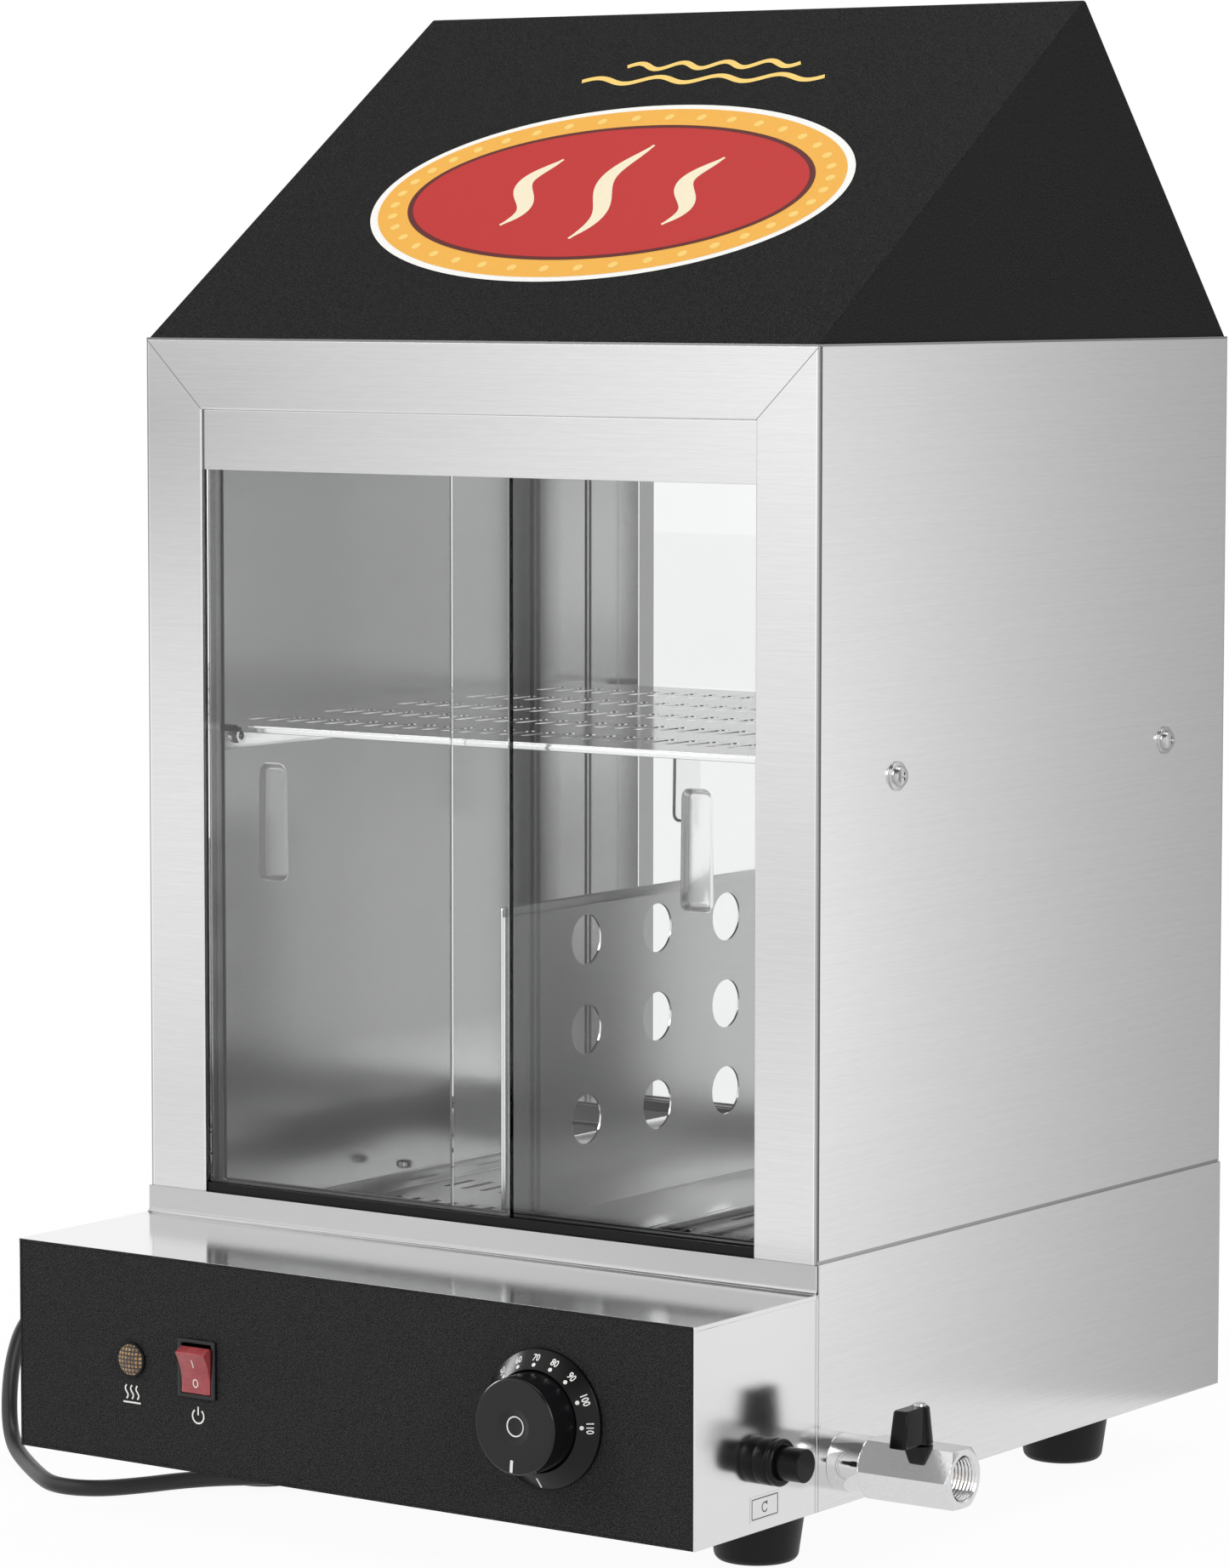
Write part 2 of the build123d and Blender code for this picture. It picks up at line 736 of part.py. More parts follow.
def make_switch_bezel():
    """Rounded frame and body of the rocker switch, with the rocker's well and pivot holes."""
    half_x, half_z = switch_size[0] / 2, switch_size[1] / 2
    with BuildPart() as switch_bezel:
        low = (switch[0] - half_x, switch[1] - half_z)
        high = (switch[0] + half_x, switch[1] + half_z)
        extrude(rectangle_on(across(box_front), low, high, 1.2), amount=switch_proud)
        fillet(switch_bezel.faces().sort_by(Axis.Y)[0].outer_wire().edges(), 0.5)
        low = (low[0] + switch_body_step, low[1] + switch_body_step)
        high = (high[0] - switch_body_step, high[1] - switch_body_step)
        extrude(rectangle_on(across(box_front), low, high), amount=-switch_well_depth - 0.5)
        low = (switch[0] - switch_well[0] / 2, switch[1] - switch_well[1] / 2)
        high = (switch[0] + switch_well[0] / 2, switch[1] + switch_well[1] / 2)
        extrude(rectangle_on(across(box_front - switch_proud), low, high),
                amount=-switch_well_depth, mode=Mode.SUBTRACT)
        pin_radius, pin_half = rocker_pin
        pivot_hole = discs_on(beside(switch[0]), [(rocker_pivot_y, switch[1])], pin_radius + 0.06)
        extrude(pivot_hole, amount=pin_half + 0.2, both=True, mode=Mode.SUBTRACT)
    return switch_bezel


def make_power_rocker():
    """Saddle-shaped rocker: a dished face between two ridges, its ends sloping back from them.

    At rest its upper half stands out. It turns on two short pivot pins.
    """
    ridge_out, dip, ridge_up = 7.0, 5.3, 9.9
    end_out, end_up = 2.0, 11.25
    heel_out, heel_back, heel_up = 1.0, 5.5, 8.8
    lean = radians(rocker_rest_angle)
    tilted = Plane(origin=(switch[0] - rocker_half, rocker_pivot_y, switch[1]),
                   x_dir=(0, cos(lean), sin(lean)), z_dir=(1, 0, 0))
    with BuildPart() as power_rocker:
        with BuildSketch(tilted):
            with BuildLine():
                face = ThreePointArc((-ridge_out, ridge_up), (-dip, 0), (-ridge_out, -ridge_up))
                lower = Polyline(face @ 1, (-end_out, -end_up), (heel_out, -heel_up))
                heel = ThreePointArc(lower @ 1, (heel_back, 0), (heel_out, heel_up))
                Polyline(heel @ 1, (-end_out, end_up), face @ 0)
            make_face()
        extrude(amount=2 * rocker_half)
        pin_radius, pin_half = rocker_pin
        extrude(discs_on(beside(switch[0]), [(rocker_pivot_y, switch[1])], pin_radius),
                amount=pin_half, both=True)
    return power_rocker


def make_dial_ring():
    """Conical scale ring that rises from the panel to the knob."""
    inner, lip = knob_radius + 0.3, 0.6
    profile = [(0, inner), (0, ring_radius), (ring_edge, ring_radius), (ring_height, inner + lip),
               (ring_height, inner)]
    with BuildPart() as dial_ring:
        add(turned((dial[0], box_front, dial[1]), (0, -1, 0), profile))
    return dial_ring


def make_thermostat_knob():
    """Turned knob with a bowl-shaped dimple in its face, bored at the back for its spindle."""
    back = box_front - 0.3
    length = back - knob_face
    profile = [(0, 0), (0, knob_radius), (length - 1.0, knob_radius - 1.0),
               (length, knob_radius - 2.1), (length, 0)]
    reach, depth = knob_dimple
    bowl_radius = (reach ** 2 + depth ** 2) / (2 * depth)
    with BuildPart() as thermostat_knob:
        add(turned((dial[0], back, dial[1]), (0, -1, 0), profile))
        with Locations((dial[0], knob_face + depth - bowl_radius, dial[1])):
            Sphere(bowl_radius, mode=Mode.SUBTRACT)
        extrude(discs_on(across(back), [dial], spindle_radius), amount=8, mode=Mode.SUBTRACT)
    return thermostat_knob


def make_thermostat_spindle():
    """Spindle from the thermostat into the knob."""
    with BuildPart() as thermostat_spindle:
        extrude(discs_on(across(-75), [dial], spindle_radius), amount=-75 - box_front + 8.3)
    return thermostat_spindle


def make_reset_collar():
    """Threaded collar that guides the reset button, on the control box's right wall."""
    with BuildPart() as reset_collar_piece:
        extrude(discs_on(beside(base_half), [reset], 10.5), amount=reset_collar)
        chamfer(reset_collar_piece.faces().sort_by(Axis.X)[-1].edges(), 0.8)
        extrude(discs_on(beside(base_half), [reset], 7.55), amount=reset_collar,
                mode=Mode.SUBTRACT)
    return reset_collar_piece


def make_reset_button():
    """Push button with the stem that reaches the safety cut-out."""
    start = base_half + 3.0
    with BuildPart() as reset_button:
        extrude(discs_on(beside(start), [reset], 7.48), amount=reset_button_end - start)
        chamfer(reset_button.faces().sort_by(Axis.X)[-1].edges(), 0.5)
        extrude(discs_on(beside(start), [reset], 2.0), amount=-14)
    return reset_button


# ---- drain valve -------------------------------------------------------------------------

def make_drain_nipple():
    """Pipe from the tank through the base wall, with the collar that meets the valve."""
    start = tank_half - sheet
    with BuildPart() as drain_nipple:
        extrude(discs_on(beside(start), [drain], drain_bore + 3), amount=base_half - start)
        extrude(discs_on(beside(base_half), [drain], hex_flats / 2), amount=hex_start - base_half)
        extrude(discs_on(beside(start), [drain], drain_bore), amount=hex_start - start,
                mode=Mode.SUBTRACT)
    return drain_nipple


def make_valve_body():
    """Hexagon valve body with its ball seat, through bore, threaded port and stem hole."""
    port_depth = 13.0
    with BuildPart() as valve_body:
        with BuildSketch(beside(hex_start)):
            with Locations(drain):
                RegularPolygon(hex_flats / 2, 6, major_radius=False)
        extrude(amount=hex_end - hex_start)
        corner = hex_flats / 2 / cos(radians(30))
        length = hex_end - hex_start
        turned_blank = turned((hex_start, drain[0], drain[1]), (1, 0, 0),
                              [(0, 0), (0, hex_flats / 2), (1.2, corner + 0.4),
                               (length - 1.2, corner + 0.4), (length, hex_flats / 2), (length, 0)])
        add(turned_blank, mode=Mode.INTERSECT)
        extrude(discs_on(beside(hex_start), [drain], 6.5), amount=length, mode=Mode.SUBTRACT)
        extrude(discs_on(beside(hex_end), [drain], 9.8), amount=-port_depth, mode=Mode.SUBTRACT)
        with Locations((ball_centre_x, drain[0], drain[1])):
            Sphere(ball_radius + 0.08, mode=Mode.SUBTRACT)
        extrude(discs_on(level(drain[1]), [(ball_centre_x, drain[0])], stem_radius + 0.06),
                amount=hex_flats, mode=Mode.SUBTRACT)
    return valve_body


def make_valve_ball():
    """Bored ball, closed at rest, with a seat for the stem."""
    with BuildPart() as valve_ball:
        with Locations((ball_centre_x, drain[0], drain[1])):
            Sphere(ball_radius)
            Cylinder(6.5, 3 * ball_radius, rotation=(90, 0, 0), mode=Mode.SUBTRACT)
        extrude(discs_on(level(drain[1] + 7.4), [(ball_centre_x, drain[0])], stem_radius),
                amount=ball_radius, mode=Mode.SUBTRACT)
    return valve_ball


def make_valve_stem():
    """Stem from the ball up into the lever's hub."""
    with BuildPart() as valve_stem:
        extrude(discs_on(level(drain[1] + 7.4), [(ball_centre_x, drain[0])], stem_radius),
                amount=45.5 - drain[1] - 7.4)
    return valve_stem


def make_valve_lever():
    """One-sided wing lever: a tapered hub on the stem and a wedge-shaped wing."""
    top = 49.5
    with BuildPart() as valve_lever:
        hub = [(0, 0), (0, 6.2), (top - lever_bottom - 0.8, 4.4), (top - lever_bottom, 3.6),
               (top - lever_bottom, 0)]
        add(turned((ball_centre_x, drain[0], lever_bottom), (0, 0, 1), hub))
        with BuildSketch(beside(ball_centre_x)):
            with BuildLine():
                Polyline((2.2, lever_bottom), (drain[0], lever_bottom), (drain[0], top),
                         (4.6, top), close=True)
            make_face()
        extrude(amount=3.6, both=True)
        chamfer(valve_lever.edges().filter_by(Axis.X).sort_by(Axis.Y)[:2], 0.8)
        extrude(discs_on(level(lever_bottom), [(ball_centre_x, drain[0])], stem_radius),
                amount=12.5, mode=Mode.SUBTRACT)
        extrude(discs_on(level(lever_bottom + 12.5), [(ball_centre_x, drain[0])], 1.5),
                amount=top - lever_bottom - 12.5, mode=Mode.SUBTRACT)
    return valve_lever


def make_lever_screw():
    """Small screw that holds the lever on its stem."""
    profile = [(0, 0), (0, 1.5), (4.0, 1.5), (4.0, 3.0), (5.0, 2.7), (5.4, 1.6), (5.4, 0)]
    with BuildPart() as lever_screw:
        add(turned((ball_centre_x, drain[0], 45.5), (0, 0, 1), profile))
    return lever_screw


# ---- feet --------------------------------------------------------------------------------

def make_foot(x, y):
    """Tapered rubber foot with a recess for its screw."""
    profile = [(0, 0), (0, foot_top_radius), (1.0, foot_top_radius),
               (foot_height - 2.2, foot_bottom_radius + 0.3),
               (foot_height - 0.7, foot_bottom_radius - 0.5),
               (foot_height, foot_bottom_radius - 2.0), (foot_height, 7.0), (8.0, 6.0), (8.0, 0)]
    with BuildPart() as foot:
        add(turned((x, y, 0), (0, 0, -1), profile))
        extrude(discs_on(level(0), [(x, y)], 2.2), amount=-10, mode=Mode.SUBTRACT)
    return foot


def make_foot_screws():
    """Screws up through the feet, with their nuts on the bottom plate."""
    profile = [(-12.0, 0), (-12.0, 5.0), (-9.4, 5.4), (-8.0, 5.4), (-8.0, 2.2), (sheet, 2.2),
               (sheet, 4.0), (sheet + 3.2, 4.0), (sheet + 3.2, 2.2), (6.5, 2.2), (6.5, 0)]
    with BuildPart() as foot_screws:
        for x in (-foot_x, foot_x):
            for y in foot_y:
                add(turned((x, y, 0), (0, 0, 1), profile))
    return foot_screws


# ---- mains cord --------------------------------------------------------------------------

def corner_radii(points):
    """Arc radius at each corner: as large as its two runs allow."""
    radii = []
    vectors = [Vector(*point) for point in points]
    for before, corner, after in zip(vectors, vectors[1:], vectors[2:]):
        turn = (corner - before).get_angle(after - corner)
        shorter = min((corner - before).length, (after - corner).length)
        radii.append(0.45 * shorter / tan(radians(turn / 2)))
    return radii


def swept_cord(points):
    """Round tube of the cord's size along straight runs joined by arcs, and its length."""
    radii = corner_radii(points)
    with BuildLine() as route:
        FilletPolyline(*points, radius=radii)
    path = route.wire()
    with BuildSketch(Plane(origin=path @ 0, z_dir=path % 0)) as section:
        Circle(cord_radius)
    tube = sweep(section.sketch, path=path, mode=Mode.PRIVATE)
    print("radii", [round(radius, 1) for radius in radii])
    print("length", round(path.length, 1), "volume", round(tube.volume, 1),
          "section x length", round(pi * cord_radius ** 2 * path.length, 1))
    return tube, path.length


def make_mains_cord():
    """The cord's two uncoiled stretches, and the number of turns left for the coil."""
    main, main_length = swept_cord(cord_route)
    tail, tail_length = swept_cord(tail_route)
    with BuildPart() as mains_cord:
        add(main)
        add(tail)
    turns = (cord_length - main_length - tail_length) / (2 * pi * coil_radius)
    print("coil turns", round(turns, 2))
    return mains_cord


def make_cord_gland():
    """Screwed gland on the base's left wall with a tapered strain relief."""
    profile = [(-6.0, 0), (-6.0, 7.0), (0, 7.0), (0, 10.5), (4.0, 10.5), (5.0, 9.5), (5.0, 7.4),
               (12.0, 6.6), (gland_length, 4.9), (gland_length, 0)]
    with BuildPart() as cord_gland:
        add(turned((-base_half, gland[0], gland[1]), (-1, 0, 0), profile))
    return cord_gland


def make_cord_coil():
    """Outer shape of the coiled length of cord, flat on the floor."""
    outer, inner = coil_radius + coil_section / 2, coil_radius - coil_section / 2
    round_off = 3.5
    profile = [(0, inner + round_off), (0, outer - round_off), (round_off, outer),
               (coil_section - round_off, outer), (coil_section, outer - round_off),
               (coil_section, inner + round_off), (coil_section - round_off, inner),
               (round_off, inner)]
    with BuildPart() as cord_coil:
        add(turned((coil_centre[0], coil_centre[1], floor), (0, 0, 1), profile))
    return cord_coil


def make_coil_tie():
    """Flat tie round the coil."""
    width, thickness = 8.0, 0.9
    x = coil_centre[0] - coil_radius
    half = coil_section / 2 + 0.3
    with BuildPart() as coil_tie:
        low = (x - half - thickness, floor)
        high = (x + half + thickness, floor + coil_section + thickness)
        y = coil_centre[1]
        extrude(rectangle_on(across(y + width / 2), low, high, 3.0), amount=width)
        low = (x - half, floor - 1)
        high = (x + half, floor + coil_section)
        extrude(rectangle_on(across(y + width / 2), low, high), amount=width, mode=Mode.SUBTRACT)
    return coil_tie


def plug_frame():
    """Where the plug lies: at the end of the tail, pointing along its last run."""
    end = Vector(*tail_route[-1])
    direction = (end - Vector(*tail_route[-2])).normalized()
    return end, direction


def make_mains_plug():
    """Round two-pin plug body with a tapered tail sleeve."""
    end, direction = plug_frame()
    sleeve = 16.0
    profile = [(0, 0), (0, 5.2), (sleeve, 8.5), (sleeve + 4, 15.0), (sleeve + 12, plug_radius),
               (sleeve + plug_length, plug_radius), (sleeve + plug_length, 0)]
    with BuildPart() as mains_plug:
        add(turned(tuple(end), tuple(direction), profile))
    return mains_plug


def make_plug_pins():
    """The plug's two round contact pins."""
    end, direction = plug_frame()
    face = end + direction * (16.0 + plug_length)
    with BuildPart() as plug_pins:
        with BuildSketch(Plane(origin=face, x_dir=(0, 0, 1), z_dir=direction)):
            with GridLocations(19, 0, 2, 1):
                Circle(2.4)
        extrude(amount=19)
    return plug_pins


# ---- build and write every piece ---------------------------------------------------------

save(make_base_shell(), "base_shell")
save(make_control_box_shell(), "control_box_shell")
save(make_control_panel(), "control_panel")
save(make_bottom_plate(), "bottom_plate")
save(make_side_panel(-1), "side_panel_left")
save(make_side_panel(1), "side_panel_right")
save(make_door_frame(front_opening_half), "front_frame")
save(turn_to_back(make_door_frame(rear_opening_half)), "rear_frame")
save(make_ceiling_plate(), "ceiling_plate")
save(make_canopy(), "canopy")

save(make_fascia(front_opening_half), "front_fascia")
save(turn_to_back(make_fascia(rear_opening_half)), "rear_fascia")
save(make_bottom_track(front_opening_half), "front_bottom_track")
save(turn_to_back(make_bottom_track(rear_opening_half)), "rear_bottom_track")
save(make_top_track(front_opening_half), "front_top_track")
save(turn_to_back(make_top_track(rear_opening_half)), "rear_top_track")
save(make_pane(front_opening_half, -1, outer_groove), "front_left_pane")
save(make_pane(front_opening_half, 1, inner_groove), "front_right_pane")
save(turn_to_back(make_pane(rear_opening_half, -1, outer_groove)), "rear_right_pane")
save(turn_to_back(make_pane(rear_opening_half, 1, inner_groove)), "rear_left_pane")

save(make_deck(), "deck")
save(make_deck_screws(), "deck_screws")
save(make_water_tank(), "water_tank")
save(make_steam_tray(), "steam_tray")
save(make_mid_shelf(), "mid_shelf")
save(make_shelf_screws(), "shelf_screws")
save(make_shelf_nuts(), "shelf_nuts")
save(make_divider(), "divider")

save(make_heating_element(), "heating_element")
save(make_element_nuts(), "element_nuts")
save(make_thermostat_body(), "thermostat_body")
save(make_thermostat_bulb(), "thermostat_bulb")
save(make_limiter_body(), "limiter_body")
save(make_terminal_block(), "terminal_block")

save(make_pilot_lamp(), "pilot_lamp")
save(make_switch_bezel(), "switch_bezel")
save(make_power_rocker(), "power_rocker")
save(make_dial_ring(), "dial_ring")
save(make_thermostat_knob(), "thermostat_knob")
save(make_thermostat_spindle(), "thermostat_spindle")
save(make_reset_collar(), "reset_collar")
save(make_reset_button(), "reset_button")

save(make_drain_nipple(), "drain_nipple")
save(make_valve_body(), "valve_body")
save(make_valve_ball(), "valve_ball")
save(make_valve_stem(), "valve_stem")
save(make_valve_lever(), "valve_lever")
save(make_lever_screw(), "lever_screw")

for end_name, y in (("front", foot_y[0]), ("rear", foot_y[1])):
    for side_name, x in (("left", -foot_x), ("right", foot_x)):
        save(make_foot(x, y), f"foot_{end_name}_{side_name}")
save(make_foot_screws(), "foot_screws")

save(make_cord_gland(), "cord_gland")
save(make_mains_cord(), "mains_cord")
save(make_cord_coil(), "cord_coil")
save(make_coil_tie(), "coil_tie")
save(make_mains_plug(), "mains_plug")
save(make_plug_pins(), "plug_pins")
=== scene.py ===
"""Looks of the hot dog steamer: materials, printed marks, turned parts, panes, cord and light.

The CAD frame is in metres with the origin on the floor. Sizes here are in the cabinet's own
millimetres: x across from its middle, y back from its front face, z up from the base's
underside. at() turns them into the frame's metres.
"""

import math

import bmesh
import bpy
from mathutils import Matrix, Vector


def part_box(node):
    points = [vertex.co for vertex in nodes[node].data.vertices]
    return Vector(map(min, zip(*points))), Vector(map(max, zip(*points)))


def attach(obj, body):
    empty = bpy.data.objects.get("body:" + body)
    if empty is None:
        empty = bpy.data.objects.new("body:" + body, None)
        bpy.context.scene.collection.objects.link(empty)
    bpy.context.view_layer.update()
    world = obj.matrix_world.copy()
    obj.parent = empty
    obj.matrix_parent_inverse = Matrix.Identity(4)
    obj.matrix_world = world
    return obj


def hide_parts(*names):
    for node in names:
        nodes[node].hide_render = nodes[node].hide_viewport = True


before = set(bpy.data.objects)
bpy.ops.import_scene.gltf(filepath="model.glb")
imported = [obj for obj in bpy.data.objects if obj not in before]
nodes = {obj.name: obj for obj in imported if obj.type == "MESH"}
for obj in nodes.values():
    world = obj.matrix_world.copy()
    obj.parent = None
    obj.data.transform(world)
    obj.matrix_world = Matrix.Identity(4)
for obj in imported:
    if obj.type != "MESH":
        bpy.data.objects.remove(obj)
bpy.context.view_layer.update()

MM = 0.001
shell_low, shell_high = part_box("base_shell")
CABINET = Vector(((shell_low.x + shell_high.x) / 2, shell_low.y, shell_low.z))
FLOOR = -CABINET.z / MM
LEFT, RIGHT, FRONT, UP, DOWN = (-1, 0, 0), (1, 0, 0), (0, -1, 0), (0, 0, 1), (0, 0, -1)

# ---- driving dimensions of the drawn pieces, millimetres

cabinet_half = 190.0
half_depth = 180.0
base_half = 191.0
box_front = -94.5
box_top = 97.5
cabinet_top = 514.6
ridge = (224.0, 672.0)
canopy_front = 0.8
opening_half = {"front": 157.0, "rear": 147.0}
opening_top = 481.2
pane_range = (112.0, 472.0)
pane_thickness = 4.0
well_middle = 288.5
well_offset = 117.3
well_length = 56.2
well_widths = (17.0, 18.4)
well_corner = 5.5
slot_width, slot_length = 4.4, 25.0
slot_rows, slot_row_pitch = 5, 58.5
lamp = (-123.3, 48.0)
switch = (-84.0, 48.1)
dial = (111.5, 48.6)
knob_radius = 22.3
knob_face = -117.4
ring_radius = 30.9
ring_edge, ring_height = 1.8, 8.0
ring_slope = 8.0
knob_dimple = (8.0, 1.6)
reset = (-41.0, 30.7)
drain = (20.6, 19.6)
drain_bore = 6.5
ball_x = 231.5
foot_offset = 142.0
foot_rows = {"front": 25.5, "rear": 293.5}
cord_radius = 3.9
gland = (132.0, 50.0)
gland_length = 32.0


def at(x, y, z):
    """A point of the cabinet, in the frame's metres."""
    return CABINET + Vector((x, y, z)) * MM


def steps(count, start=0.0, end=1.0):
    """Numbers from start to end in this many even steps."""
    return [start + (end - start) * k / count for k in range(count + 1)]


def span(side, first, second):
    """Two distances from the middle, on one side of it, in rising order."""
    return sorted((side * first, side * second))


# ---- material building

class Nodes:
    """A short way to wire a procedural material, or the world."""

    def __init__(self, owner):
        owner.use_nodes = True
        self.tree = owner.node_tree
        self.coords = self.put("TexCoord").outputs

    def put(self, kind, **values):
        """Add a node: names in small letters are its settings, the others its sockets."""
        node = self.tree.nodes.new("ShaderNode" + kind)
        for key, value in values.items():
            if key[0].islower():
                setattr(node, key, value)
            else:
                self.feed(node, key, value)
        return node

    def feed(self, node, key, value):
        socket = node.inputs[int(key[1:]) if key[0] == "_" else key.replace("_", " ")]
        if isinstance(value, bpy.types.NodeSocket):
            self.tree.links.new(value, socket)
        else:
            socket.default_value = value

    def value(self, kind, **values):
        """The first output of a new node."""
        return self.put(kind, **values).outputs[0]

    def noise(self, scale, detail=2.0, roughness=0.5, stretch=(1, 1, 1)):
        """Noise on the object's coordinates, scaled per axis so that it turns into streaks."""
        place = self.value("Mapping", Vector=self.coords["Object"], Scale=stretch)
        return self.value("TexNoise", Vector=place, Scale=scale, Detail=detail,
                          Roughness=roughness)

    def ramp(self, factor, stops):
        """Colour ramp from (position, colour) stops; a number stands for a grey."""
        node = self.put("ValToRGB", Fac=factor)
        while len(node.color_ramp.elements) < len(stops):
            node.color_ramp.elements.new(0.5)
        for element, (place, colour) in zip(node.color_ramp.elements, stops):
            element.position = place
            element.color = grey(colour) if isinstance(colour, float) else (*colour, 1)
        return node.outputs[0]

    def greys(self, factor, tone, spread):
        """Greys on both sides of a tone."""
        return self.ramp(factor, [(0.3, tone - spread), (0.7, tone + spread)])

    def clouded(self, factor, colour, darker, low=0.3, high=0.7):
        """A colour that is darker where the factor is low."""
        return self.ramp(factor, [(low, [c * darker for c in colour]), (high, colour)])

    def level(self, factor, low, high, start=0.0, end=1.0):
        """A factor from start to end carried to the range low to high."""
        return self.value("MapRange", Value=factor, From_Min=start, From_Max=end, To_Min=low,
                          To_Max=high)

    def bump(self, height, strength, distance=0.0002, edge=0.0):
        """Normals of a fine relief, on a sheet's edges softened by this many metres."""
        rounded = {"Normal": self.value("Bevel", samples=4, Radius=edge)} if edge else {}
        return self.value("Bump", Height=height, Strength=strength, Distance=distance, **rounded)

    def math(self, operation, *values):
        node = self.put("Math", operation=operation)
        for k, value in enumerate(values):
            self.feed(node, f"_{k}", value)
        return node.outputs[0]

    def blended(self, first, second, share):
        """Weighted mean of two factors."""
        return self.value("Mix", _0=share, _2=first, _3=second)

    def mixed(self, factor, first, second):
        """Mix of two colours."""
        return self.put("Mix", data_type="RGBA", _0=factor, _6=first, _7=second).outputs[2]

    def finish(self, **inputs):
        """Set the material's own shader."""
        for key, value in inputs.items():
            self.feed(self.tree.nodes["Principled BSDF"], key, value)

    def show(self, surface):
        """Show this surface in place of the material's own shader."""
        self.tree.nodes.remove(self.tree.nodes["Principled BSDF"])
        self.feed(self.tree.nodes["Material Output"], "Surface", surface)


looks = {}


def recipe(name):
    """Wiring of a new material, which is kept under its name."""
    looks[name] = bpy.data.materials.new(name)
    return Nodes(looks[name])


def grey(value):
    return (value, value, value, 1.0)


def wear(data, look):
    """Give a mesh or a curve one more material, by its name."""
    data.materials.append(looks[look])


def brushed_steel(name, grain, tone=0.82, rough=0.17, spread=0.035, inner=None, light_and_shade_rises=(),
                  light_and_shade_lines=()):
    """Brushed stainless sheet; grain is the axis along which the brush ran.

    The painted lines are (axis, start, end, tone): narrow painted highlights where a fold or a
    joint would catch the light, and painted shade where it would lose it, with x measured
    outwards from the middle. inner is (axis, middle, half width, tone): faces nearer than that
    to the middle, inside the chamber, take this tone as painted shade, to which each painted
    rise adds painted light or painted shade, from start to end: (axis, start, end, extra).
    """
    m = recipe(name)
    brush, wander, relief, inner_relief = 0.045, 0.3, 0.10, 0.02
    stretch = [brush if axis == grain else 1 for axis in "xyz"]
    longer = [wander * c if c < 1 else 1 for c in stretch]
    strokes = m.blended(m.noise(2100, 3, 0.6, stretch), m.noise(900, 2, 0.5, longer), 0.35)
    colour = m.ramp(strokes, [(0.28, tone - spread), (0.72, tone + spread)])
    place = m.put("SeparateXYZ", Vector=m.coords["Object"]).outputs
    outwards = m.math("ABSOLUTE", m.math("SUBTRACT", place[0], CABINET.x))
    # painted lines: painted highlights where folds and joints would catch the light, painted shade
    # where they would lose it
    for axis, start, end, line_tone in light_and_shade_lines:
        middle = (start + end) / 2 * MM + (CABINET[axis] if axis else 0)
        on_line = m.math("COMPARE", place[axis] if axis else outwards, middle,
                         (end - start) / 2 * MM)
        painted_line = m.ramp(strokes, [(0.2, line_tone * 0.96), (0.8, line_tone)])
        colour = m.mixed(on_line, colour, painted_line)
    # painted shade on the faces inside the chamber, to which each rise adds painted light or
    # painted shade
    if inner:
        axis, middle, half, shaded_tone = inner
        away = m.math("SUBTRACT", place[axis], CABINET[axis] + middle * MM)
        outside = m.math("GREATER_THAN", m.math("ABSOLUTE", away), half * MM)
        shade = m.math("MULTIPLY_ADD", strokes, spread, shaded_tone - 0.5 * spread)
        for axis, start, end, extra in light_and_shade_rises:
            start, end = CABINET[axis] + start * MM, CABINET[axis] + end * MM
            shade = m.math("ADD", shade, m.level(place[axis], 0.0, extra, start, end))
        colour = m.mixed(outside, shade, colour)
        relief = m.level(outside, inner_relief, relief)
    m.finish(Base_Color=colour, Metallic=1.0,
             Roughness=m.level(m.noise(14), rough - 0.015, rough + 0.03),
             Normal=m.bump(strokes, relief, edge=0.0006))


def rolled(m, fine, colour, rough, edge):
    """Finish of smooth rolled sheet with soft mirror reflections."""
    m.finish(Base_Color=colour, Metallic=1.0,
             Roughness=m.level(m.noise(12), rough - 0.02, rough + 0.03),
             Normal=m.bump(fine, 0.04, edge=edge))


def polished_steel(name, tone, rough):
    m = recipe(name)
    fine = m.noise(1300, stretch=(1, 0.06, 1))
    rolled(m, fine, m.greys(fine, tone, 0.015), rough, 0.0004)


def cut_sheet(name, axis, face, edge, rough):
    """Stainless sheet square to an axis, with painted highlights on its cut edges and hems and
    painted shade on its faces.
    """
    m = recipe(name)
    fine = m.noise(1300, stretch=(1, 0.06, 1))
    across = m.put("SeparateXYZ", Vector=m.coords["Normal"]).outputs
    flat = m.math("GREATER_THAN", m.math("ABSOLUTE", across[axis]), 0.8)
    #     round a slot's end the cut edge is painted dark between the painted highlights of its
    #     sides and its tip
    painted_dark_turn = m.math("COMPARE", m.math("ABSOLUTE", across["Y"]), 0.55, 0.3)
    rim = m.mixed(painted_dark_turn, m.greys(fine, edge, 0.03), m.greys(fine, 0.04, 0.01))
    # painted highlights on the cut edges and hems, painted shade on the faces
    rolled(m, fine, m.mixed(flat, rim, m.greys(fine, face, 0.015)), rough, 0.0003)


def textured_black(name, light, grain, strength, rough):
    """Black powder coat: a leathery grain whose crests catch a fine light speckle."""
    m = recipe(name)
    grit = m.noise(grain, 3, 0.6)
    crests = m.blended(grit, m.noise(grain * 2.3, 1), 0.4)
    m.finish(Base_Color=m.ramp(crests, [(0.42, 0.002), (0.5, 0.3 * light), (0.59, light)]),
             Roughness=m.level(grit, rough + 0.08, rough - 0.08), Specular_IOR_Level=0.08,
             Normal=m.bump(crests, strength, 0.0004, 0.0008))


